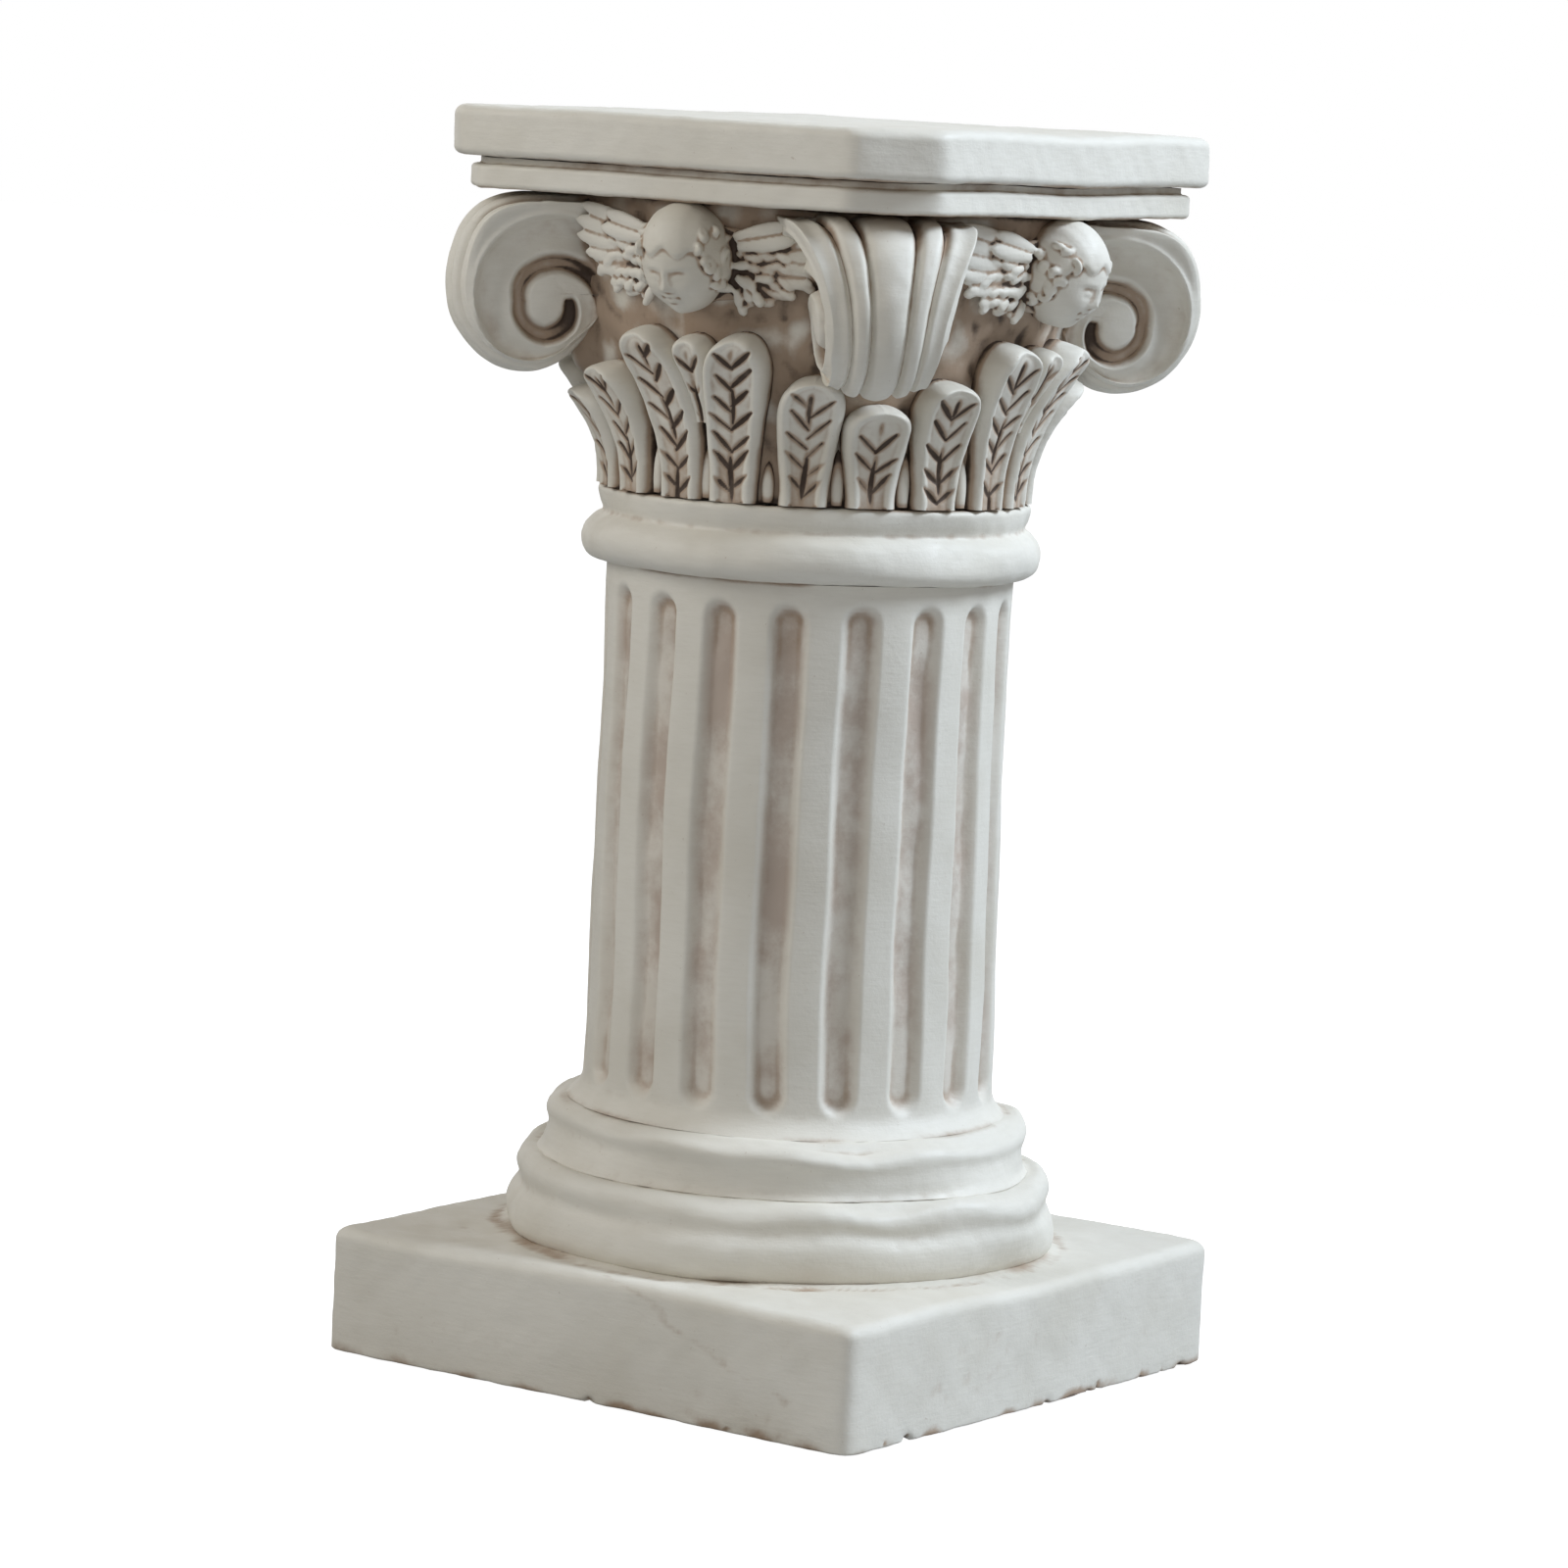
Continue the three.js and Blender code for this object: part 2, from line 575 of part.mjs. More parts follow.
// One wing: a plate on the bell that runs from behind the head up to its tip under the slab.
function wing(side) {
  const geometry = new THREE.BoxGeometry(1, 1, 1, 1, 5, 1);
  const points = geometry.attributes.position;
  const rootTop = bellTop - WING_BELOW_SLAB - WING_RISE;
  for (let i = 0; i < points.count; i += 1) {
    const share = points.getY(i) + 0.5;
    const out = side * THREE.MathUtils.lerp(HEAD_WIDTH / 4, WING_SPAN / 2, share);
    const depth = THREE.MathUtils.lerp(WING_ROOT_DEPTH, WING_TIP_DEPTH, share ** WING_SWEEP);
    const upper = rootTop + WING_RISE * share;
    const level = points.getZ(i) > 0 ? upper : upper - depth;
    const back = bellRadius(level) - WING_SINK;
    const radius = points.getX(i) < 0 ? back : back + WING_SINK + WING_THICKNESS;
    const angle = out / back;
    points.setXYZ(i, radius * Math.cos(angle), radius * Math.sin(angle), level);
  }
  return solidOf(geometry);
}

// ---- Abacus ----

function lowerSlab() {
  const side = ABACUS_SIDE - 2 * LOWER_SLAB_INSET;
  const bandTop = lowerSlabTop - LOWER_SLAB_GROOVE;
  const band = slab(chamferedSquare(side, ABACUS_CHAMFER), lowerSlabFoot, bandTop, LOWER_SLAB_ROUND);
  const neck = chamferedSquare(side - 2 * LOWER_SLAB_GROOVE_INSET, ABACUS_CHAMFER);
  const recess = slab(neck, lowerSlabFoot + LOWER_SLAB_ROUND, lowerSlabTop, 0);
  const hole = disc(SPIGOT_RADIUS + JOINT, lowerSlabFoot - 1, lowerSlabTop + 1, ROUND_STEPS);
  return joined([solidOf(band), solidOf(recess)]).subtract(solidOf(hole));
}

function topSlab() {
  const outline = chamferedSquare(ABACUS_SIDE, ABACUS_CHAMFER);
  const plate = slab(outline, topSlabFoot, topSlabTop, ABACUS_EDGE_ROUND);
  const spigotFoot = topSlabFoot - slabSpigotHeight + JOINT;
  const spigot = disc(SPIGOT_RADIUS, spigotFoot, topSlabFoot + ABACUS_EDGE_ROUND, ROUND_STEPS);
  return solidOf(plate).add(solidOf(spigot));
}

// ---- Rod, nuts and washers ----

const plinthPocketRoof = plinthFoot + pocketDepth;
const bellPocketFloor = bellTop + slabSpigotHeight - pocketDepth;
const rodReach = JOINT + WASHER_THICKNESS + JOINT + NUT_HEIGHT + ROD_END_PROUD;

function nut() {
  const hexagon = new THREE.CylinderGeometry(1, 1, NUT_HEIGHT, 6).rotateX(Math.PI / 2);
  const cornerRadius = NUT_ACROSS_FLATS / 2 / Math.cos(Math.PI / 6);
  hexagon.scale(cornerRadius, cornerRadius, 1);
  return solidOf(hexagon).subtract(solidOf(disc(rodHoleRadius, -NUT_HEIGHT, NUT_HEIGHT)));
}

function washer() {
  const ring = disc(WASHER_RADIUS, -WASHER_THICKNESS / 2, WASHER_THICKNESS / 2);
  return solidOf(ring).subtract(solidOf(disc(rodHoleRadius, -NUT_HEIGHT, NUT_HEIGHT)));
}

// ---- The stand ----

const stand = new THREE.Group();

function place(parent, name, solid, finish, [x, y, z] = [0, 0, 0], turn = 0) {
  const mesh = new THREE.Mesh(geometryOf(solid), new THREE.MeshStandardMaterial(finish));
  mesh.name = name;
  mesh.position.set(x, y, z);
  mesh.rotation.z = radians(turn);
  parent.add(mesh);
  return mesh;
}

place(stand, 'plinth', plinth(), plaster);
padPlaces().forEach(([x, y], i) => {
  place(stand, `felt_pad_${i + 1}`, solidOf(disc(PAD_RADIUS, 0, PAD_THICKNESS)), felt, [x, y, 0]);
});
place(stand, 'lower_torus', lowerTorus(), plaster);
place(stand, 'upper_torus', upperTorus(), plaster);
place(stand, 'shaft', shaft(), plaster);
place(stand, 'neck_ring', neckRing(), plaster);
place(stand, 'bell', bell(), washedPlaster);
place(stand, 'lower_slab', lowerSlab(), plaster);
place(stand, 'top_slab', topSlab(), plaster);

const rodFoot = plinthPocketRoof - rodReach;
const rodTop = bellPocketFloor + rodReach;
place(stand, 'tie_rod', solidOf(disc(ROD_RADIUS, rodFoot, rodTop)), steel);
const washerOffset = JOINT + WASHER_THICKNESS / 2;
const nutOffset = 2 * JOINT + WASHER_THICKNESS + NUT_HEIGHT / 2;
place(stand, 'plinth_washer', washer(), steel, [0, 0, plinthPocketRoof - washerOffset]);
place(stand, 'plinth_nut', nut(), steel, [0, 0, plinthPocketRoof - nutOffset]);
place(stand, 'bell_washer', washer(), steel, [0, 0, bellPocketFloor + washerOffset]);
place(stand, 'bell_nut', nut(), steel, [0, 0, bellPocketFloor + nutOffset]);

// One side of the capital: a scroll on its right-hand corner, a winged head and six leaves.
const bellRoom = bellSpace();
const corners = [-45, 45];
const scroll = volute(bellRoom);
const leaves = leafPlan().map(({ name, angle, geometry }) => {
  const rooms = corners.map((corner) => voluteSpace(corner - angle - ORNAMENT_TURN));
  return { name, angle, solid: cutBy(solidOf(geometry), rooms) };
});
const cherub = cutBy(
  joined([head(), wing(-1), wing(1)]),
  [bellRoom, ...corners.map((corner) => voluteSpace(corner - ORNAMENT_TURN))],
);

['front', 'right', 'back', 'left'].forEach((side, quarter) => {
  const face = new THREE.Group();
  face.rotation.z = radians(90 * (quarter - 1));
  stand.add(face);
  place(face, `${side}_corner_scroll`, scroll, plaster, [0, 0, 0], 45);
  place(face, `${side}_winged_head`, cherub, washedPlaster, [0, 0, 0], ORNAMENT_TURN);
  for (const { name, angle, solid } of leaves) {
    place(face, `${side}_${name}`, solid, washedPlaster, [0, 0, 0], angle + ORNAMENT_TURN);
  }
});

export default stand;
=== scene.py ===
"""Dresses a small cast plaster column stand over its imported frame: carved castings with an antique wash.

Lengths are in metres, +Z is up, and the stand's front faces -Y.
"""

import math

import bpy
import numpy as np
from mathutils import Matrix, Vector


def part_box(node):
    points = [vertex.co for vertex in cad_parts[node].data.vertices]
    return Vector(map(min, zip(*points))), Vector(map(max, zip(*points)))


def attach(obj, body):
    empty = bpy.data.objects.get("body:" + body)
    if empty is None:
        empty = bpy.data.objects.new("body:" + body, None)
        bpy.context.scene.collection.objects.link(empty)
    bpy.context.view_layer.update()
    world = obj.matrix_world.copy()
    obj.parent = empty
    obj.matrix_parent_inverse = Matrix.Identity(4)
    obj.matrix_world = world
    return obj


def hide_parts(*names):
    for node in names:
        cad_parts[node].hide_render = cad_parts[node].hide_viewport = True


bl_info = {
    "name": "Pedestal column stand",
    "version": (1, 0, 0),
    "blender": (4, 5, 0),
    "location": "View3D > Sidebar > Column stand",
    "description": "Builds the castings, the carving and the finishes of a small plaster column stand",
    "category": "Add Mesh",
}

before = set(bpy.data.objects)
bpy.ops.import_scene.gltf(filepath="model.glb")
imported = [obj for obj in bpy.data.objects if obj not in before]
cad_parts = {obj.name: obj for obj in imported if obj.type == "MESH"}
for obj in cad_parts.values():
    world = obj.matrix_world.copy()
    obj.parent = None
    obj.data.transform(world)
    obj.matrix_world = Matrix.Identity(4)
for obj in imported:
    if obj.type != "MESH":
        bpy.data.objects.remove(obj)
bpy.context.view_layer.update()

MM = 0.001
JOINT = 0.3 * MM  # bed between two castings
SIDES = {"front": -90, "right": 0, "back": 90, "left": 180}  # name and direction of each face, degrees
ORNAMENT_TURN = 5  # the leaves and heads sit a little round from the slabs, degrees


# ---- Places taken from the frame ----

def foot(node):
    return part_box(node)[0].z


def head(node):
    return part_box(node)[1].z


def reach(node):
    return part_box(node)[1].x


PLINTH_TOP = foot("lower_torus") - JOINT
LOWER_TORUS_TOP = foot("upper_torus") - JOINT
SHAFT_FOOT = foot("shaft")
UPPER_TORUS_TOP = SHAFT_FOOT - JOINT
SHAFT_TOP = foot("neck_ring") - JOINT
BELL_FOOT = foot("bell")
NECK_TOP = BELL_FOOT - JOINT
BELL_TOP = foot("lower_slab") - JOINT
SLAB_SEAM = head("lower_slab")
BELL_NECK_RADIUS = 46.5 * MM
BELL_LIP_RADIUS = reach("bell")
SHAFT_TOP_RADIUS = 47.1 * MM
SEAMS = (  # level, radius where the seam shows (None: everywhere), and how much wash it holds
    (PLINTH_TOP, reach("lower_torus") - 2 * MM, 0.55),
    (LOWER_TORUS_TOP, reach("upper_torus"), 0.2),
    (UPPER_TORUS_TOP, reach("shaft"), 0.3),
    (SHAFT_TOP, SHAFT_TOP_RADIUS, 0.6),
    (NECK_TOP, BELL_NECK_RADIUS, 0.8),
    (BELL_TOP, None, 0.55),
    (SLAB_SEAM, None, 0.45))
BORE = 24 * MM  # the castings are hollow inside this radius
CREASE = math.radians(65)  # an edge sharper than this is shaded as a hard edge

BLOCK_STEPS = 512  # points round a square casting
RING_STEPS = 384  # points round a ring
BELL_STEPS = 420  # points round the bell


# ---- Sizes and colours that a user may change ----

def length(name, description, millimetres):
    return bpy.props.FloatProperty(
        name=name, description=description, default=millimetres * MM, min=0, unit="LENGTH", subtype="DISTANCE")


def count(name, description, default):
    return bpy.props.IntProperty(name=name, description=description, default=default, min=1)


def share(name, description, default):
    return bpy.props.FloatProperty(
        name=name, description=description, default=default, min=0, max=1, subtype="FACTOR")


def colour(name, description, red, green, blue):
    return bpy.props.FloatVectorProperty(
        name=name, description=description, default=(red, green, blue), min=0, max=1, subtype="COLOR")


class STAND_PG_base(bpy.types.PropertyGroup):
    """Sizes of the plinth, the rings and the shaft."""

    plinth_corner: length("Plinth corner", "Radius of the plinth's upright edges", 4.2)
    plinth_round: length("Plinth edge", "Rounding of the plinth's top edge", 3)
    torus_hollow: length("Torus hollow", "How far a torus is hollowed between its lips", 1.1)
    shaft_foot_radius: length("Shaft foot radius", "Radius of the shaft over its flare", 47.8)
    shaft_top_radius: length("Shaft top radius", "Radius under the neck ring", SHAFT_TOP_RADIUS / MM)
    flare: length("Flare", "How far the shaft's foot spreads", 3.4)
    flare_height: length("Flare height", "Height of the spread foot", 5.4)
    flutes: count("Flutes", "Number of flutes round the shaft", 18)
    flute_width: length("Flute width", "Width of a flute at the shaft's face", 9)
    flute_depth: length("Flute depth", "Depth of a flute", 2.5)
    flute_foot: length("Flute foot", "Plain shaft below the flutes", 4.7)
    flute_top: length("Flute top", "Plain shaft above the flutes", 4.4)


class STAND_PG_capital(bpy.types.PropertyGroup):
    """Sizes of the carving round the bell."""

    leaf_width: length("Leaf width", "Full width of a leaf", 14.2)
    leaf_thickness: length("Leaf thickness", "Thickness of a leaf at its foot", 3.4)
    leaf_throw: length("Leaf throw", "How far the tip of a leaf stands out", 9)
    rim_width: length("Leaf rim", "Width of the raised rim round a leaf", 2.2)
    vein_pitch: length("Vein pitch", "Distance between two veins along the midrib", 4.9)
    vein_depth: length("Vein depth", "Depth of the cut veins", 0.9)
    eye_reach: length("Scroll eye", "Distance of a scroll's eye from the axis", 68.4)
    scroll_radius: length("Scroll radius", "Radius of the scroll's last turn where it leaves the bell", 15.2)
    scroll_growth: bpy.props.FloatProperty(
        name="Scroll growth", description="Growth of the scroll in one turn", default=1.67, min=1)
    scroll_foot_width: length("Scroll foot", "Width of a scroll at its foot", 23)
    scroll_head_width: length("Scroll head", "Width of a scroll under the slab", 45)
    rib_depth: length("Rib depth", "Depth of the cuts between the ribs on a scroll's edge", 2)
    crown: length("Scroll crown", "How far a scroll's edge stands out in its middle", 3)
    scroll_rise: length("Scroll rise", "Height of a scroll over its eye", 22.8)
    head_reach: length("Head reach", "Distance of a head's middle from the axis", 61)
    nod: bpy.props.FloatProperty(
        name="Nod", description="How far the heads look down", default=math.radians(20), subtype="ANGLE")


class STAND_PG_finish(bpy.types.PropertyGroup):
    """Colours of the plaster and its wash."""

    plaster: colour("Plaster", "Clean plaster", 0.765, 0.735, 0.665)
    aged: colour("Aged plaster", "Plaster that handling has yellowed", 0.61, 0.57, 0.485)
    blush: colour("Blush", "Thin rosy wash in the flutes", 0.49, 0.405, 0.34)
    wash: colour("Wash", "Brown wash in the hollows", 0.36, 0.252, 0.173)
    umber: colour("Umber", "Thick wash in the deepest cuts", 0.055, 0.034, 0.022)
    grain: share("Grain", "Strength of the plaster's grain", 0.35)


# ---- Fields: numbers that vary over a surface ----

def ramp(low, high, values):
    """Runs smoothly from 0 at low to 1 at high."""
    run = np.clip((values - low) / (high - low), 0, 1)
    return run * run * (3 - 2 * run)


def hump(distance, width):
    """A rounded hump that is 1 in its middle and gone at width."""
    return np.exp(-((distance / (0.6 * width)) ** 2))


def drift(points, wavelength, seed):
    """Smooth random numbers, mostly within -1.5 and 1.5, that change over about one wavelength."""
    random = np.random.default_rng(seed)
    waves = random.normal(size=(14, 3))
    waves /= np.linalg.norm(waves, axis=1)[:, None]
    waves *= 2 * np.pi / (wavelength * random.uniform(0.7, 1.6, 14))[:, None]
    phases = random.uniform(0, 2 * np.pi, 14)
    return np.cos(points @ waves.T + phases).sum(-1) * math.sqrt(2 / 14)


def from_axis(points):
    """How far each point lies from the axis."""
    return np.hypot(points[..., 0], points[..., 1])


def hand_cast(points):
    """The slight lean and waver of a casting from a hand-made mould.

    One field bends all the pieces alike. It leaves the foot of the plinth level.
    """
    sway = np.stack([drift(points, 150 * MM, seed) for seed in (11, 12)], -1) * 0.35 * MM
    waver = np.stack([drift(points, 34 * MM, seed) for seed in (21, 22)], -1) * 0.16 * MM
    level = drift(points, 60 * MM, 31) * 0.14 * MM
    settled = points.copy()
    settled[..., :2] += sway + waver
    settled[..., 2] += level * ramp(0, 20 * MM, points[..., 2])
    return settled


def bell_radius(level):
    run = np.clip((level - BELL_FOOT) / (BELL_TOP - BELL_FOOT), 0, 1)
    return BELL_NECK_RADIUS + (BELL_LIP_RADIUS - BELL_NECK_RADIUS) * np.sin(run * np.pi / 2) ** 2


def seam_dirt(points, width=1.2 * MM):
    """The wash that is left, in patches, in the seams between the castings."""
    out = from_axis(points)
    dirt = np.zeros_like(out)
    for level, radius, strength in SEAMS:
        beside = 1 if radius is None else hump(np.maximum(np.abs(out - radius) - 1 * MM, 0), 3 * MM)
        dirt = np.maximum(dirt, strength * hump(points[..., 2] - level, width) * beside)
    return dirt * np.clip(0.6 + 0.5 * drift(points, 26 * MM, 91), 0.1, 1)


# ---- Meshes ----

def turned(points, degrees):
    angle = math.radians(degrees)
    turn = np.array([[math.cos(angle), math.sin(angle), 0], [-math.sin(angle), math.cos(angle), 0], [0, 0, 1]])
    return points @ turn


def skin(rows, ring=False):
    """Faces over rows of points that each run round the piece, as points and faces.

    A ring also closes from the last row to the first, and other shapes get a fan over each end row.
    """
    height, around = rows.shape[:2]
    row, column = np.meshgrid(np.arange(height if ring else height - 1), np.arange(around), indexing="ij")
    right, up = (column + 1) % around, (row + 1) % height
    corners = [row * around + column, row * around + right, up * around + right, up * around + column]
    faces = [np.stack(corners, -1).reshape(-1, 4)]
    points = rows.reshape(-1, 3)
    if not ring:
        middles = np.stack([rows[0].mean(0), rows[-1].mean(0)])
        first, last = len(points), len(points) + 1
        points = np.concatenate([points, middles])
        low = np.arange(around)
        high = low + (height - 1) * around
        faces.append(np.stack([np.full(around, first), (low + 1) % around, low], -1))
        faces.append(np.stack([np.full(around, last), high, np.roll(high, -1)], -1))
    return points, faces


def mesh_of(name, points, faces):
    """A mesh with its faces pointing outwards."""
    volume = sum(
        np.einsum("ij,ij->", points[f[:, 0]], np.cross(points[f[:, i]], points[f[:, i + 1]]))
        for f in faces for i in range(1, f.shape[1] - 1))
    if volume < 0:
        faces = [f[:, ::-1] for f in faces]
    corners = np.concatenate([f.ravel() for f in faces])
    sizes = np.concatenate([np.full(len(f), f.shape[1]) for f in faces])
    mesh = bpy.data.meshes.new(name)
    mesh.vertices.add(len(points))
    mesh.vertices.foreach_set("co", points.astype(np.float32).ravel())
    mesh.loops.add(len(corners))
    mesh.loops.foreach_set("vertex_index", corners.astype(np.int32))
    mesh.polygons.add(len(sizes))
    mesh.polygons.foreach_set("loop_start", np.concatenate([[0], np.cumsum(sizes)[:-1]]).astype(np.int32))
    mesh.update(calc_edges=True)
    return mesh


def merged(name, meshes):
    """One mesh with the points and faces of all of them."""
    points, faces = [], []
    for mesh in meshes:
        base = sum(len(p) for p in points)
        points.append(points_of(mesh))
        faces += [[base + corner for corner in face.vertices] for face in mesh.polygons]
    whole = bpy.data.meshes.new(name)
    whole.from_pydata(np.concatenate(points).tolist(), [], faces)
    return whole


def points_of(mesh):
    points = np.empty(len(mesh.vertices) * 3, np.float32)
    mesh.vertices.foreach_get("co", points)
    return points.reshape(-1, 3).astype(float)


def normals_of(mesh):
    normals = np.empty(len(mesh.vertices) * 3, np.float32)
    mesh.vertex_normals.foreach_get("vector", normals)
    return normals.reshape(-1, 3).astype(float)


def move_points(mesh, points):
    mesh.vertices.foreach_set("co", points.astype(np.float32).ravel())
    mesh.update()


def smoothed(mesh, points, rounds):
    """The points after each has gone to the middle of its neighbours a few times."""
    ends = np.empty(len(mesh.edges) * 2, np.int32)
    mesh.edges.foreach_get("vertices", ends)
    a, b = ends.reshape(-1, 2).T
    size = len(points)
    neighbours = np.maximum(np.bincount(a, minlength=size) + np.bincount(b, minlength=size), 1)
    for _ in range(rounds):
        total = [np.bincount(a, points[b, i], size) + np.bincount(b, points[a, i], size) for i in range(3)]
        points = 0.4 * points + 0.6 * np.stack(total, -1) / neighbours[:, None]
    return points


def hollows(mesh, depth, rounds):
    """1 where the surface lies that deep or deeper under its own smoothed shape, 0 on ridges and plain faces."""
    points = points_of(mesh)
    below = np.einsum("ij,ij->i", smoothed(mesh, points, rounds) - points, normals_of(mesh))
    return np.clip(below / depth, 0, 1)


def set_wash(mesh, amount):
    """Keeps how much wash each point holds, from 0 to 1, with any painted shade added to it."""
    field = mesh.attributes.new("wash", "FLOAT", "POINT")
    field.data.foreach_set("value", np.clip(amount, 0, 1).astype(np.float32))


def put(name, data):
    """A new object in the scene with that mesh, lamp or lens."""
    item = bpy.data.objects.new(name, data)
    bpy.context.scene.collection.objects.link(item)
    return item


def applied(item):
    """The mesh that an object's modifiers make. They are taken off it."""
    graph = bpy.context.evaluated_depsgraph_get()
    mesh = bpy.data.meshes.new_from_object(
        item.evaluated_get(graph), preserve_all_data_layers=True, depsgraph=graph)
    item.modifiers.clear()
    return mesh


def casting(node, points, faces, dirt=0.0, finish="plaster"):
    """Puts one plaster casting in place of its CAD node. dirt gives the wash on each point, with the painted shade
    that some callers add to it.
    """
    name = f"{node}_casting"
    mesh = mesh_of(name, hand_cast(points), faces)
    shape = points_of(mesh)
    grain = drift(shape, 9 * MM, 41) * 0.05 * MM + drift(shape, 3.5 * MM, 42) * 0.025 * MM
    move_points(mesh, shape + normals_of(mesh) * grain[:, None])
    set_wash(mesh, seam_dirt(shape) + hollows(mesh, 0.25 * MM, 5) * 0.6 + dirt)
    return place(name, mesh, [node], finish)


def dress(mesh, finish):
    mesh.materials.clear()
    mesh.materials.append(material_for(finish))


def place(name, mesh, nodes, finish):
    """Adds a finished mesh to the stand, in place of those CAD nodes."""
    mesh.shade_smooth()
    mesh.set_sharp_from_angle(angle=CREASE)
    dress(mesh, finish)
    piece = put(name, mesh)
    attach(piece, "root")
    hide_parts(*nodes)
    return piece


# ---- Node trees ----

class Nodes:
    """Adds nodes to a tree. Inputs are given in order: a socket is linked, and a value is set."""

    def __init__(self, tree):
        self.tree = tree

    def add(self, kind, *inputs, output=0, named=None, **settings):
        node = self.tree.nodes.new(kind)
        for name, value in settings.items():
            setattr(node, name, value)
        for socket, value in zip(node.inputs, inputs):
            self.fill(socket, value)
        for label, value in (named or {}).items():
            self.fill(node.inputs[label], value)
        return node.outputs[output] if node.outputs else node

    def fill(self, socket, value):
        if isinstance(value, bpy.types.NodeSocket):
            self.tree.links.new(value, socket)
        elif value is not None:
            socket.default_value = value

    def math(self, operation, *inputs):
        return self.add("ShaderNodeMath", *inputs, operation=operation)

    def fade(self, value, low, high, to_low=0.0, to_high=1.0):
        return self.add(
            "ShaderNodeMapRange", value, low, high, to_low, to_high, interpolation_type="SMOOTHSTEP")

    def blend(self, amount, first, second):
        """From the first colour to the second."""
        node = self.tree.nodes.new("ShaderNodeMix")
        node.data_type = "RGBA"
        for socket, value in ((0, amount), (6, first), (7, second)):
            self.fill(node.inputs[socket], value)
        return node.outputs[2]

    def noise(self, place, scale, detail=2.0, roughness=0.5):
        return self.add(
            "ShaderNodeTexNoise",
            named={"Vector": place, "Scale": scale, "Detail": detail, "Roughness": roughness})

    def surface(self, tone, rough, grain, depth, relief, more=None):
        """Ends a material. grain is the strength of its bump, and depth is how deep its relief goes."""
        bump = self.add("ShaderNodeBump", named={"Strength": grain, "Distance": depth, "Height": relief})
        look = {"Base Color": tone, "Roughness": rough, "Normal": bump, **(more or {})}
        self.add("ShaderNodeOutputMaterial", self.add("ShaderNodeBsdfPrincipled", named=look))


def geometry_tree(name, sizes):
    """A tree with named inputs, and nothing in it yet. Returns the tree, its nodes and its inputs."""
    tree = bpy.data.node_groups.new(name, "GeometryNodeTree")
    tree.interface.new_socket("Geometry", in_out="INPUT", socket_type="NodeSocketGeometry")
    for label, kind in sizes.items():
        tree.interface.new_socket(label, in_out="INPUT", socket_type=f"NodeSocket{kind}")
    tree.interface.new_socket("Geometry", in_out="OUTPUT", socket_type="NodeSocketGeometry")
    entry = tree.nodes.new("NodeGroupInput")
    return tree, Nodes(tree), entry.outputs


def grow(tree, start, values):
    """Runs a geometry tree on a mesh with the given input values and returns the plain mesh it makes."""
    holder = put("holder", start)
    modifier = holder.modifiers.new("tree", "NODES")
    modifier.node_group = tree
    for item in tree.interface.items_tree:
        if item.in_out == "INPUT" and item.name in values:
            modifier[item.identifier] = values[item.name]
    mesh = applied(holder)
    bpy.data.objects.remove(holder)
    return mesh


def finish_tree(nodes, geometry, material):
    """Ends a geometry tree: real geometry with its material."""
    real = nodes.add("GeometryNodeRealizeInstances", geometry)
    dressed = nodes.add("GeometryNodeSetMaterial", real, None, material)
    nodes.add("NodeGroupOutput", dressed)


def plant(nodes, places, pattern, turn, size):
    """Ends a tree that sets a carved pattern on each point."""
    planted = nodes.add("GeometryNodeInstanceOnPoints", places, None, pattern, None, None, turn, size)
    finish_tree(nodes, planted, material_for("washed_plaster"))


# ---- Finishes ----

def material_for(finish):
    """The material for one of the record's finishes. It is made the first time it is asked for."""
    name, make = {
        "plaster": ("aged_plaster", aged_plaster),
        "washed_plaster": ("washed_carving", aged_plaster),
        "steel": ("brushed_steel", brushed_steel),
        "felt": ("wool_felt", wool_felt)}[finish]
    return bpy.data.materials.get(name) or make(name)


def new_material(name):
    material = bpy.data.materials.new(name)
    material.use_nodes = True
    material.node_tree.nodes.clear()
    return material, Nodes(material.node_tree)


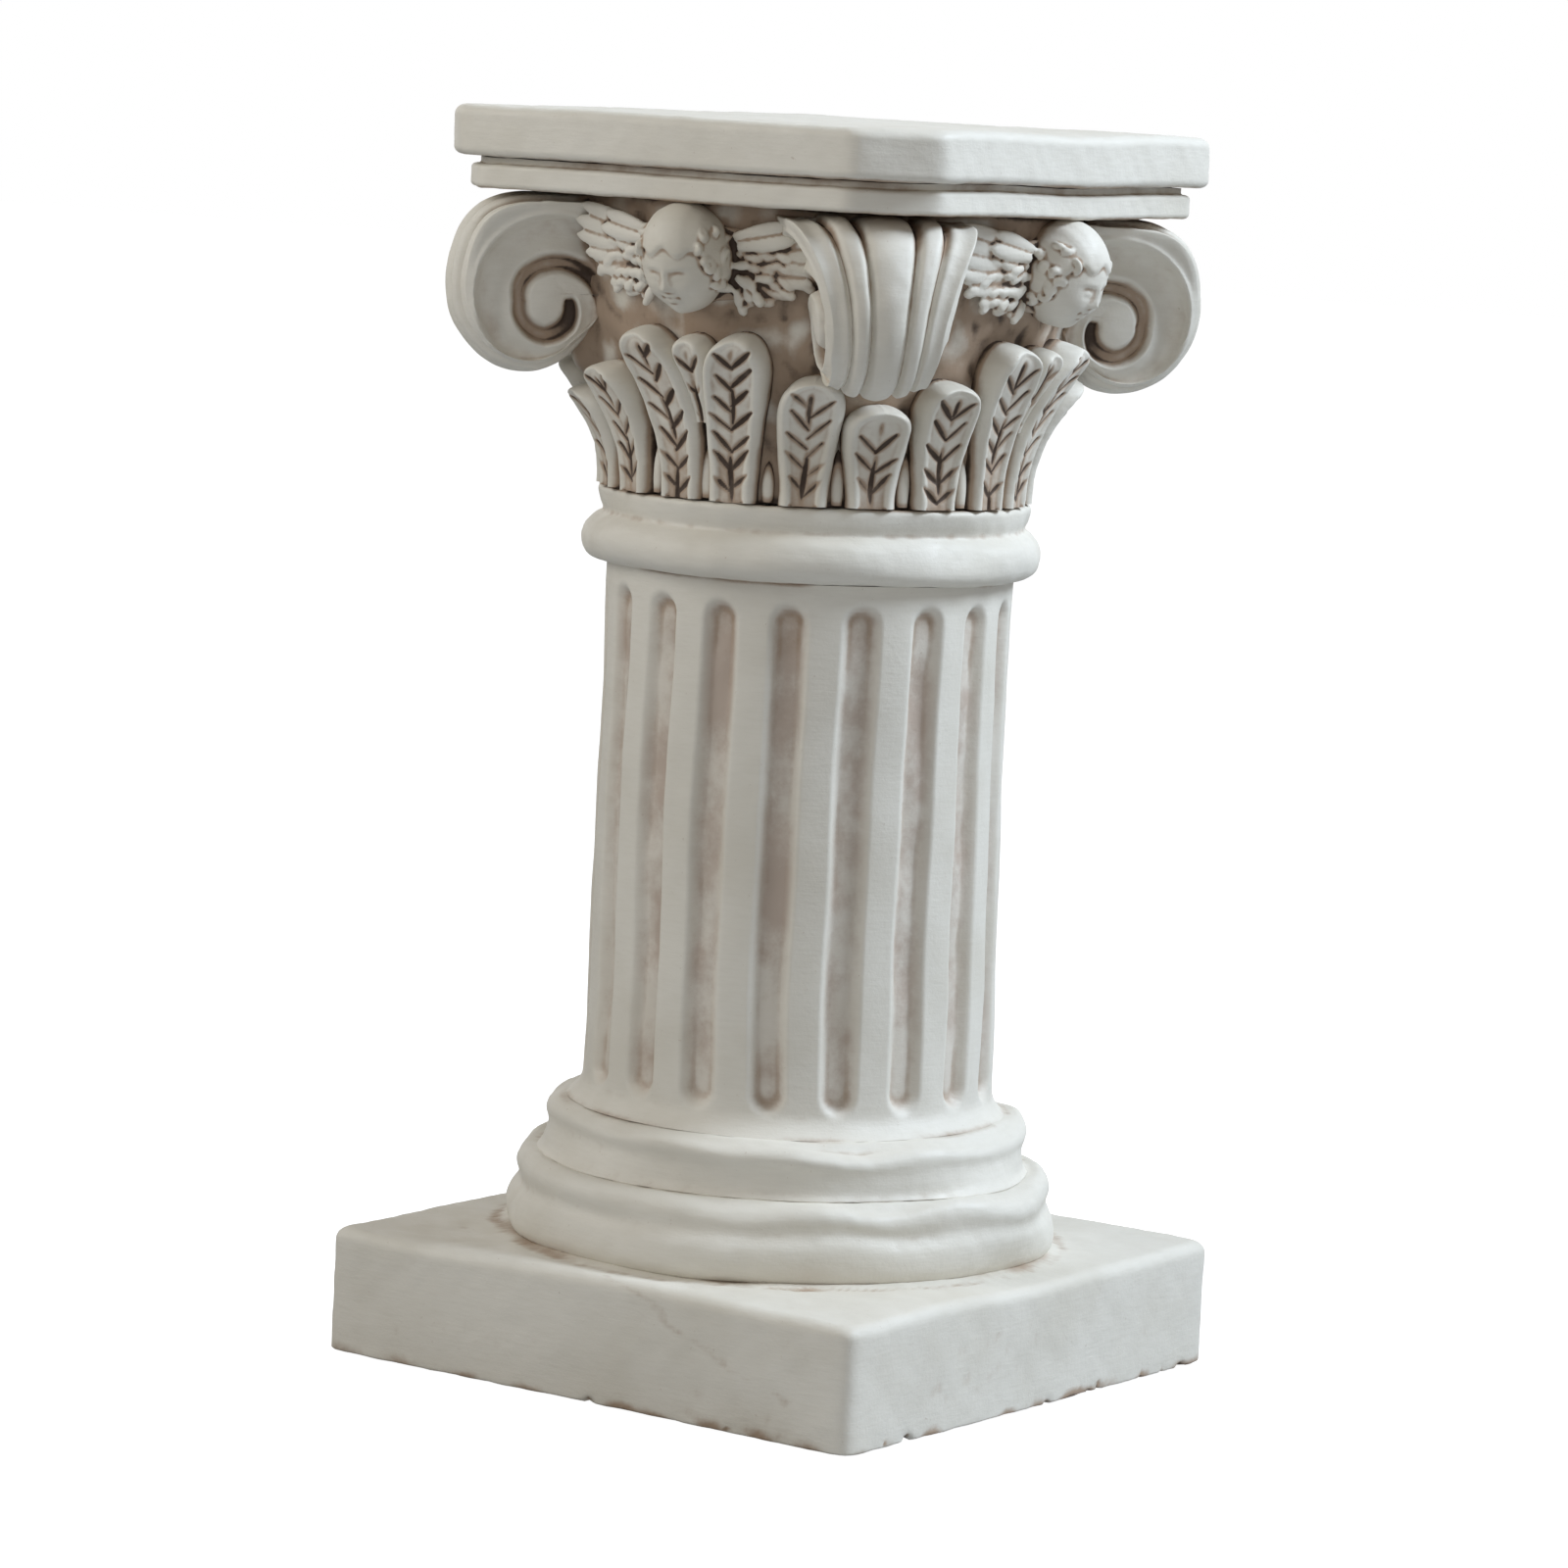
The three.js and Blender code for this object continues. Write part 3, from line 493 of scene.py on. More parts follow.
def aged_plaster(name):
    """Painted plaster: warm off-white, yellowed in patches, with brown wash left in every hollow. The same brown
    also paints the shade near the bell and in the scroll bands that the wash attribute carries.
    """
    look = bpy.context.scene.stand_finish
    carved = name == "washed_carving"
    material, nodes = new_material(name)
    place_on = nodes.add("ShaderNodeTexCoord", output=3)
    wash = nodes.add("ShaderNodeAttribute", attribute_name="wash", output=2)
    flute = nodes.add("ShaderNodeAttribute", attribute_name="flute", output=2)
    patches = nodes.noise(place_on, 26, 3, 0.6)
    mottle = nodes.noise(place_on, 150, 4, 0.65)
    specks = nodes.noise(place_on, 900, 2, 0.6)
    strokes_place = nodes.add("ShaderNodeMapping", place_on, named={"Scale": (170, 170, 1100)})
    strokes = nodes.noise(strokes_place, 1, 3, 0.6)
    aged = nodes.fade(patches, 0.40, 0.72, 0.05, 0.75 if carved else 0.5)
    base = nodes.blend(aged, (*look.plaster, 1), (*look.aged, 1))
    base = nodes.blend(nodes.fade(strokes, 0.35, 0.75, 0, 0.16), base, (*look.aged, 1))
    clouds = nodes.noise(place_on, 42, 6, 0.68)
    blush_amount = nodes.math("MULTIPLY", flute, nodes.fade(clouds, 0.40, 0.62, 0.25, 1.0))
    base = nodes.blend(blush_amount, base, (*look.blush, 1))
    unevenness = nodes.math("MULTIPLY", nodes.math("SUBTRACT", mottle, 0.5), 0.5)
    uneven = nodes.math("ADD", wash, unevenness)
    thin = nodes.math("MULTIPLY", nodes.fade(uneven, 0.10, 0.62), nodes.fade(wash, 0.02, 0.2))
    thick = nodes.fade(uneven, 0.66, 1.0)
    stained = nodes.blend(nodes.math("MULTIPLY", thin, 0.9), base, (*look.wash, 1))
    stained = nodes.blend(thick, stained, (*look.umber, 1))
    stained = nodes.blend(nodes.fade(specks, 0.70, 0.80, 0, 0.35), stained, (*look.wash, 1))
    rough = nodes.fade(mottle, 0.3, 0.7, 0.48, 0.66)
    rough = nodes.math("ADD", rough, nodes.math("MULTIPLY", thin, 0.14))
    relief = nodes.math("ADD", nodes.math("MULTIPLY", specks, 0.5), nodes.math("MULTIPLY", strokes, 0.6))
    relief = nodes.math("ADD", relief, nodes.math("MULTIPLY", mottle, 0.9))
    nodes.surface(stained, rough, look.grain, 0.35 * MM, relief)
    return material


def brushed_steel(name):
    material, nodes = new_material(name)
    place_on = nodes.add("ShaderNodeTexCoord", output=3)
    brushed = nodes.noise(nodes.add("ShaderNodeMapping", place_on, named={"Scale": (2500, 2500, 90)}), 1, 2)
    stains = nodes.noise(place_on, 240, 3)
    tone = nodes.blend(nodes.fade(stains, 0.4, 0.7), (0.34, 0.35, 0.36, 1), (0.22, 0.21, 0.20, 1))
    rough = nodes.fade(brushed, 0.3, 0.7, 0.28, 0.44)
    nodes.surface(tone, rough, 0.2, 0.05 * MM, brushed, {"Metallic": 1.0})
    return material


def wool_felt(name):
    material, nodes = new_material(name)
    place_on = nodes.add("ShaderNodeTexCoord", output=3)
    fibres = nodes.noise(place_on, 1800, 4, 0.7)
    tufts = nodes.noise(place_on, 420, 3)
    tone = nodes.blend(nodes.fade(fibres, 0.35, 0.65), (0.035, 0.052, 0.038, 1), (0.075, 0.10, 0.078, 1))
    rough = nodes.fade(tufts, 0.3, 0.7, 0.86, 0.98)
    nodes.surface(tone, rough, 0.8, 0.3 * MM, fibres, {"Sheen Weight": 0.4})
    return material


# ---- Square and round castings ----

def around(steps):
    return np.linspace(0, 2 * np.pi, steps, endpoint=False)


def slab_reach(directions, half, cut, sharpness):
    """Distance from the axis to the face of a square with cut corners, whose edges are softened.

    A cut of None leaves the corners whole. half and cut may hold one value for each row.
    """
    half = np.asarray(half, float)[..., None]
    sides = [(angle, half) for angle in (0, 90, 180, 270)]
    if cut is not None:
        diagonal = (2 * half - np.asarray(cut, float)[..., None]) / math.sqrt(2)
        sides += [(angle, diagonal) for angle in (45, 135, 225, 315)]
    total = sum((np.maximum(np.cos(directions - math.radians(a)), 0) / k) ** sharpness for a, k in sides)
    return total ** (-1 / sharpness)


def edge_profile(foot_level, top_level, foot_round, top_round, steps=9):
    """[inset, level] pairs up the side of a block, over its two rounded edges."""
    corner = np.linspace(0, np.pi / 2, steps)
    low = [(foot_round * (1 - math.sin(a)), foot_level + foot_round * (1 - math.cos(a))) for a in corner]
    side = np.linspace(foot_level + foot_round, top_level - top_round, 26)[1:-1]
    high = [(top_round * (1 - math.cos(a)), top_level - top_round * (1 - math.sin(a))) for a in corner]
    return np.array(low + [(0, level) for level in side] + high)


def spun(radius, angle, level):
    """Points at these radii, angles and levels round the axis, which are numbers or arrays."""
    return np.stack(np.broadcast_arrays(radius * np.cos(angle), radius * np.sin(angle), level), -1)


def block(profile, half, cut, sharpness):
    """Rows of points for a solid square casting: its underside, its side and its top."""
    under = half - (half - profile[0, 0]) * np.linspace(0.04, 1, 12)[:-1]
    over = half - (half - profile[-1, 0]) * np.linspace(1, 0.04, 54)[1:]
    inset = np.concatenate([under, profile[:, 0], over])
    level = np.pad(profile[:, 1], (len(under), len(over)), mode="edge")
    evenly = around(BLOCK_STEPS)
    cuts = None if cut is None else cut * (half - inset) / half
    reaches = slab_reach(evenly, half - inset, cuts, sharpness) / slab_reach(evenly, half, cut, sharpness)
    directions = even_directions(half, cut, sharpness)
    return spun(reaches * slab_reach(directions, half, cut, sharpness), directions, level[:, None])


def even_directions(half, cut, sharpness):
    """Directions to points that are evenly spaced along the outline of a square casting."""
    fine = np.linspace(0, 2 * np.pi, 20 * BLOCK_STEPS)
    outline = spun(slab_reach(fine, half, cut, sharpness), fine, 0)
    run = np.concatenate([[0], np.cumsum(from_axis(np.diff(outline, axis=0)))])
    return np.interp(np.linspace(0, run[-1], BLOCK_STEPS, endpoint=False), run, fine)


def turned_ring(profile, steps):
    """Rows of points for a closed [radius, level] profile turned round the axis."""
    return spun(profile[:, :1], around(steps), profile[:, 1:])


def resampled(profile, spacing):
    """The same open line through evenly spaced points."""
    run = np.concatenate([[0], np.cumsum(np.hypot(*np.diff(profile, axis=0).T))])
    at = np.linspace(0, run[-1], int(run[-1] / spacing) + 1)
    return np.stack([np.interp(at, run, profile[:, 0]), np.interp(at, run, profile[:, 1])], -1)


def rounded_line(points, spacing, rounds):
    """An even line through the points with its corners worn round."""
    line = resampled(np.array(points, float), spacing)
    for _ in range(rounds):
        line[1:-1] = (line[:-2] + 2 * line[1:-1] + line[2:]) / 4
    return line


# ---- Plinth, rings, shaft and slabs ----

class STAND_OT_plinth(bpy.types.Operator):
    """Build the square plinth, with its pockets for the felt pads and the nut"""

    bl_idname = "stand.plinth"
    bl_label = "Plinth"

    ROD_BORE = 4.3 * MM
    PLUG_STEPS = 64

    def execute(self, context):
        sizes = context.scene.stand_base
        half, low = reach("plinth"), foot("plinth")
        # A soft corner lies half * sqrt(2) * ln(2) / sharpness inside the sharp one, and a round corner lies 0.414
        # of its radius inside it.
        sharpness = half * math.sqrt(2) * 0.693 / (0.414 * sizes.plinth_corner)
        profile = edge_profile(low, PLINTH_TOP, 0.7 * MM, sizes.plinth_round)
        points, faces = skin(self.worn(block(profile, half, None, sharpness), half, low))
        piece = casting("plinth", points, faces, self.dirt(points, half, low))
        self.pockets(piece)
        return {"FINISHED"}

    def worn(self, rows, half, low):
        """Chips the lower edges, and banks mortar up round the foot of the lower torus."""
        points = rows.reshape(-1, 3).copy()
        here = np.clip(drift(points, 45 * MM, 55), 0, 1)
        chips = np.clip(drift(points, 6 * MM, 51) - 0.9, 0, 1.2) * here * hump(points[:, 2] - low, 2.6 * MM)
        side = np.maximum(np.abs(points[:, 0]), np.abs(points[:, 1])) > half - 6 * MM
        points[:, :2] *= (1 - (chips * side)[:, None] * 0.9 * MM / half)
        points[:, 2] += chips * side * 0.8 * MM
        out = from_axis(points) - reach("lower_torus")
        bank = ramp(2.5 * MM, -2 * MM, out) * (points[:, 2] > PLINTH_TOP - 0.1 * MM)
        points[:, 2] += bank * 0.6 * MM * (1 + 0.3 * drift(points, 30 * MM, 52))
        top = (points[:, 2] > PLINTH_TOP - 4 * MM) * ramp(2 * MM, 8 * MM, out)
        points[:, 2] += 0.3 * MM * drift(points, 50 * MM, 56) * top
        return points.reshape(rows.shape)

    def dirt(self, points, half, low):
        """Grime round the torus, scuffs along the foot, a slanting crack in the front and faint streaks."""
        out = from_axis(points) - reach("lower_torus") + 3 * MM
        grime = hump(out, 4 * MM) * 0.12 * (points[:, 2] > PLINTH_TOP - 0.5 * MM)
        scuffs = hump(points[:, 2] - low, 3.2 * MM) * np.clip(0.2 + 0.3 * drift(points, 11 * MM, 53), 0, 1)
        wander = 0.8 * MM * drift(points * [0, 0, 1], 8 * MM, 54)
        aslant = points[:, 0] - 2.4 * (head("plinth") - points[:, 2]) + 2 * MM
        crack = hump(aslant / 2.6 - wander, 1.9 * MM) * (points[:, 1] < -half + 3 * MM)
        crack = crack * ramp(low + 5 * MM, low + 12 * MM, points[:, 2])
        streaks = np.clip(drift(points * [0.3, 0.3, 2.4], 22 * MM, 57) - 0.3, 0, 1)
        streaks = streaks * (points[:, 2] < PLINTH_TOP - 3 * MM)
        return grime + scuffs + crack * 0.24 + streaks * 0.1

    def pockets(self, piece):
        """Cuts the pockets under the plinth out of its casting."""
        cutter = put("pocket_cutter", self.cutter_mesh())
        modifier = piece.modifiers.new("pockets", "BOOLEAN")
        modifier.operation, modifier.solver, modifier.object = "DIFFERENCE", "EXACT", cutter
        mesh = applied(piece)
        dress(mesh, "plaster")
        piece.data = mesh
        bpy.data.objects.remove(cutter)

    def cutter_mesh(self):
        """Plugs in the shape of the nut's pocket, the rod's bore and the four pockets for the pads."""
        below = foot("plinth") - 3 * MM
        holes = [  # x, y, radius and upper end
            (0, 0, reach("plinth_washer") + 2 * MM, head("plinth_washer") + JOINT),
            (0, 0, self.ROD_BORE, PLINTH_TOP + 5 * MM)]
        for i in range(1, 5):
            low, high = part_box(f"felt_pad_{i}")
            middle = (low + high) / 2
            holes.append((middle.x, middle.y, high.x - middle.x + JOINT, high.z + JOINT))
        plugs = []
        for x, y, radius, top in holes:
            wall = turned_ring(np.array([[radius, below], [radius, top]]), self.PLUG_STEPS)
            plugs.append(mesh_of("plug", *skin(wall + [x, y, 0])))
        return merged("pocket_cutter", plugs)


class STAND_OT_rings(bpy.types.Operator):
    """Build the two torus rings of the base and the neck ring"""

    bl_idname = "stand.rings"
    bl_label = "Torus and neck rings"

    def execute(self, context):
        hollow = context.scene.stand_base.torus_hollow
        self.ring("lower_torus", LOWER_TORUS_TOP, self.lower_face(hollow), reach("upper_torus") + 1.2 * MM)
        self.ring("upper_torus", UPPER_TORUS_TOP, self.upper_face(hollow), reach("shaft") + 0.6 * MM)
        self.ring("neck_ring", NECK_TOP, self.neck_face(), reach("neck_ring") - 3 * MM)
        return {"FINISHED"}

    def ring(self, node, top, face, seat):
        """One ring. What stands on it covers it inside the seat radius, and it waves a little outside that."""
        low = foot(node)
        line = rounded_line([(BORE, low), *face, (BORE, top)], 0.55 * MM, 5)
        points, faces = skin(turned_ring(line, RING_STEPS), ring=True)
        outer = ramp(BORE, BORE + 8 * MM, from_axis(points))
        swell = 0.7 * MM * drift(points * [1, 1, 2.6], 40 * MM, 61) * outer
        points[:, :2] *= (1 + swell / np.maximum(from_axis(points), MM))[:, None]
        free = ramp(seat, seat + 3 * MM, from_axis(points)) * ramp(low, top, points[:, 2])
        points[:, 2] += 0.8 * MM * drift(points * [1, 1, 1.6], 38 * MM, 62) * free
        casting(node, points, faces)

    def torus_face(self, node, top, line):
        """Points up a torus, each from the millimetres it lies out of the node's reach and a share of the height."""
        low = foot(node)
        return [(reach(node) + out * MM, low + (top - low) * share_up) for out, share_up in line]

    def lower_face(self, hollow):
        deep = hollow / MM
        return self.torus_face("lower_torus", LOWER_TORUS_TOP, [
            (-2.4, -0.015), (-1.1, 0.06), (-0.2, 0.16), (0, 0.3), (-0.5 * deep, 0.44), (-1.9 * deep, 0.56),
            (-2.4 * deep, 0.63), (-2, 0.72), (-1.7, 0.8), (-2.4, 0.91), (-4.4, 0.985), (-7, 1)])

    def upper_face(self, hollow):
        deep = hollow / MM
        return self.torus_face("upper_torus", UPPER_TORUS_TOP, [
            (2.1, -0.03), (0.9, 0.02), (0.1, 0.1), (-0.1, 0.2), (-0.2 - 0.6 * deep, 0.38),
            (-0.4 - 0.7 * deep, 0.52), (-0.4, 0.68), (-0.7, 0.8), (-2.2, 0.93), (-5, 1)])

    def neck_face(self):
        """The bead, a narrow groove over it and the plain band, by millimetres out and up."""
        bead = [(-5.2, -0.26), (-2.2, 0.6), (-0.6, 2.4), (0, 5.2), (-0.5, 8), (-2.1, 10)]
        groove, band = [(-4.1, 10.9), (-4.1, 11.6)], (-3.2, 12.7)
        low, out = foot("neck_ring"), reach("neck_ring")
        face = [(out + aside * MM, low + rise * MM) for aside, rise in (*bead, *groove, band)]
        return face + [(out - 2.9 * MM, NECK_TOP - 0.5 * MM), (out - 3.6 * MM, NECK_TOP)]


class STAND_OT_shaft(bpy.types.Operator):
    """Build the fluted shaft from its rule with Geometry Nodes"""

    bl_idname = "stand.shaft"
    bl_label = "Fluted shaft"

    AROUND, UP = 576, 140  # faces round the drum and up it

    def execute(self, context):
        sizes = context.scene.stand_base
        tree = self.fluted_tree()
        values = {
            "Foot": SHAFT_FOOT - 0.9 * JOINT, "Top": SHAFT_TOP, "Foot radius": sizes.shaft_foot_radius,
            "Top radius": sizes.shaft_top_radius, "Flare": sizes.flare, "Flare height": sizes.flare_height,
            "Flutes": sizes.flutes, "Flute width": sizes.flute_width, "Flute depth": sizes.flute_depth,
            "Flute foot": SHAFT_FOOT + sizes.flute_foot, "Flute top": SHAFT_TOP - sizes.flute_top}
        self.cast(grow(tree, bpy.data.meshes.new("start"), values))
        return {"FINISHED"}

    def cast(self, mesh):
        """Gives the flutes uneven edges and floors, and a thin wash that is thicker at their ends."""
        points = points_of(mesh)
        flute = np.empty(len(points), np.float32)
        mesh.attributes["flute"].data.foreach_get("value", flute)
        out = points[:, :2] / np.maximum(from_axis(points), MM)[:, None]
        tremble = 0.16 * MM * drift(points * [1, 1, 0.5], 8 * MM, 71) * (0.4 + flute)
        points[:, :2] += out * tremble[:, None]
        points = hand_cast(points)
        move_points(mesh, points)
        level = points[:, 2]
        ends = hump(level - SHAFT_TOP + 11 * MM, 13 * MM) + 0.7 * hump(level - SHAFT_FOOT - 12 * MM, 12 * MM)
        arris = hollows(mesh, 0.3 * MM, 8) * 0.28 + flute * ends * 0.22
        foot_dirt = hump(level - SHAFT_FOOT, 3 * MM) * 0.1
        set_wash(mesh, seam_dirt(points) + arris + foot_dirt)
        place("shaft_casting", mesh, ["shaft"], "plaster")

    def fluted_tree(self):
        lengths = ("Foot", "Top", "Foot radius", "Top radius", "Flare", "Flare height",
                   "Flute width", "Flute depth", "Flute foot", "Flute top")
        tree, nodes, size = geometry_tree("fluted_shaft", {**dict.fromkeys(lengths, "Float"), "Flutes": "Int"})
        drum = nodes.add(
            "GeometryNodeMeshCylinder", self.AROUND, self.UP, 1, 1.0, 1.0, fill_type="TRIANGLE_FAN")
        at = nodes.add("GeometryNodeInputPosition")
        split = nodes.add("ShaderNodeSeparateXYZ", at)
        x, y, z = split.node.outputs
        rise = nodes.math("ADD", z, 0.5)
        level = nodes.add("ShaderNodeMapRange", rise, 0.0, 1.0, size["Foot"], size["Top"])
        plain = nodes.add("ShaderNodeMapRange", rise, 0.0, 1.0, size["Foot radius"], size["Top radius"])
        above = nodes.math("DIVIDE", nodes.math("SUBTRACT", level, size["Foot"]), size["Flare height"])
        spread = nodes.math("POWER", nodes.math("MAXIMUM", nodes.math("SUBTRACT", 1.0, above), 0.0), 2.0)
        plain = nodes.math("ADD", plain, nodes.math("MULTIPLY", spread, size["Flare"]))
        flute = self.flute_share(nodes, size, x, y, level, plain)
        radius = nodes.math("SUBTRACT", plain, nodes.math("MULTIPLY", flute, size["Flute depth"]))
        placed = nodes.add(
            "ShaderNodeCombineXYZ", nodes.math("MULTIPLY", x, radius), nodes.math("MULTIPLY", y, radius), level)
        kept = nodes.add("GeometryNodeStoreNamedAttribute", drum, None, "flute", flute)
        shaped = nodes.add("GeometryNodeSetPosition", kept, None, placed)
        finish_tree(nodes, shaped, material_for("plaster"))
        return tree

    def flute_share(self, nodes, size, x, y, level, radius):
        """1 on the floor of a flute, 0 on the plain face, with rounded ends."""
        half = nodes.math("DIVIDE", size["Flute width"], 2.0)
        turn = nodes.math("DIVIDE", nodes.math("ARCTAN2", y, x), 2 * math.pi)
        step = nodes.math("ADD", nodes.math("MULTIPLY", turn, size["Flutes"]), 0.5)
        aside = nodes.math("SUBTRACT", nodes.math("FLOORED_MODULO", step, 1.0), 0.5)
        pitch = nodes.math("DIVIDE", nodes.math("MULTIPLY", radius, 2 * math.pi), size["Flutes"])
        across = nodes.math("MULTIPLY", aside, pitch)
        under = nodes.math("SUBTRACT", nodes.math("ADD", size["Flute foot"], half), level)
        over = nodes.math("SUBTRACT", level, nodes.math("SUBTRACT", size["Flute top"], half))
        beyond = nodes.math("MAXIMUM", nodes.math("MAXIMUM", under, over), 0.0)
        squares = nodes.math("ADD", nodes.math("POWER", across, 2.0), nodes.math("POWER", beyond, 2.0))
        near = nodes.math("DIVIDE", nodes.math("SQRT", squares), half)
        return nodes.fade(near, 1.08, 0.46)


class STAND_OT_slabs(bpy.types.Operator):
    """Build the two slabs of the abacus"""

    bl_idname = "stand.slabs"
    bl_label = "Abacus slabs"

    CORNER_CUT = 14.7 * MM  # how much of each side a cut corner takes
    SHARPNESS = 100  # of the upright edges: more is sharper
    RECESS = 1.5 * MM  # height of the set-in rim on the lower slab

    def execute(self, context):
        self.slab("top_slab", edge_profile(SLAB_SEAM + JOINT, head("top_slab"), 1.8 * MM, 2.4 * MM))
        shoulder = SLAB_SEAM - self.RECESS
        profile = edge_profile(foot("lower_slab"), shoulder, 1.2 * MM, 1.1 * MM)
        recess = [(1.4 * MM, shoulder), (1.7 * MM, shoulder + 0.4 * MM), (1.7 * MM, SLAB_SEAM)]
        self.slab("lower_slab", np.concatenate([profile, recess]))
        return {"FINISHED"}

    def slab(self, node, profile):
        points, faces = skin(block(profile, reach(node), self.CORNER_CUT, self.SHARPNESS))
        low = profile[0, 1]
        casting(node, points, faces, ramp(low + 1.2 * MM, low, points[:, 2]) * 0.25)


# ---- Capital ----

def bell_wash_and_shade(points, distance):
    """1 on the bell's face, 0 at that distance from it. It is the wash that stays thick where a brush can't reach,
    and also painted shade where the carving meets the bell.
    """
    out = from_axis(points) - bell_radius(points[:, 2])
    return 1 - ramp(0.5 * MM, distance, out)


class STAND_OT_bell(bpy.types.Operator):
    """Build the bell and the ring of darts between the feet of the leaves"""

    bl_idname = "stand.bell"
    bl_label = "Bell and darts"

    def execute(self, context):
        levels = np.linspace(BELL_FOOT, BELL_TOP, 90)
        line = np.stack([bell_radius(levels), levels], -1)
        line = np.concatenate([[(BORE, BELL_FOOT)], line, [(BORE, BELL_TOP)]])
        points, faces = skin(turned_ring(line, BELL_STEPS), ring=True)
        # A web of plaster fills the space behind each corner scroll.
        tooled = 0.3 * MM * drift(points * [1, 1, 0.6], 7 * MM, 81)
        out = np.maximum(from_axis(points), MM)
        aside = np.degrees(np.arctan2(points[:, 1], points[:, 0])) % 90 - 45
        web = 7 * MM * hump(aside, 14) * ramp(BELL_FOOT + 17 * MM, BELL_FOOT + 29 * MM, points[:, 2])
        points[:, :2] *= (1 + (tooled + web * (out > BORE + MM)) / out)[:, None]
        dirt = 0.61 + np.minimum(0.2 * drift(points, 12 * MM, 82), 0.05)
        dirt = dirt + 0.5 * hump(points[:, 2] - BELL_FOOT, 2.5 * MM)
        casting("bell", points, faces, dirt, "washed_plaster")
        self.darts()
        return {"FINISHED"}

    def darts(self):
        """Small pointed stems, set by a node tree on a ring of points between the feet of the leaves."""
        angles = np.radians([side + aside for side in SIDES.values() for aside in (5, 22.4, 41, -31, -12.4)])
        ring = spun(BELL_NECK_RADIUS + 1.1 * MM, angles, BELL_FOOT + 0.4 * MM)
        start = bpy.data.meshes.new("dart_places")
        start.from_pydata(ring.tolist(), [], [])
        tree, nodes, inputs = geometry_tree("darts", {"Dart": "Object", "Height": "Float", "Width": "Float"})
        dart = nodes.add("GeometryNodeObjectInfo", inputs["Dart"], output=4)
        split = nodes.add("ShaderNodeSeparateXYZ", nodes.add("GeometryNodeInputPosition"))
        facing = nodes.math("ARCTAN2", split.node.outputs[1], split.node.outputs[0])
        turn = nodes.add("FunctionNodeEulerToRotation", nodes.add("ShaderNodeCombineXYZ", 0.0, 0.0, facing))
        tall = nodes.add("FunctionNodeRandomValue", named={"Seed": 4}, output=1)
        tall.node.inputs[2].default_value, tall.node.inputs[3].default_value = 0.75, 1.15
        height = nodes.math("MULTIPLY", tall, inputs["Height"])
        size = nodes.add("ShaderNodeCombineXYZ", inputs["Width"], inputs["Width"], height)
        plant(nodes, inputs["Geometry"], dart, turn, size)
        pattern = bpy.data.objects.new("dart", self.dart_mesh())
        mesh = grow(tree, start, {"Dart": pattern, "Height": 11.5 * MM, "Width": 3.1 * MM})
        bpy.data.objects.remove(pattern)
        points = hand_cast(points_of(mesh))
        move_points(mesh, points)
        foot_dirt = hump(points[:, 2] - BELL_FOOT, 2 * MM) * 0.7
        # The bell term is wash and painted shade where the darts meet the bell.
        set_wash(mesh, bell_wash_and_shade(points, 2 * MM) * 0.9 + foot_dirt + 0.12)
        place("darts", mesh, [], "washed_plaster")

    def dart_mesh(self):
        """A pointed stem of unit height and width that faces +X."""
        run = np.linspace(0, 1, 12)[:, None]
        swell = np.sqrt(np.clip(1 - run ** 3, 0.004, 1)) * (0.8 + 0.2 * np.sin(run * np.pi))
        return mesh_of("dart", *skin(spun(swell, around(14), run) * [0.42, 0.5, 1]))


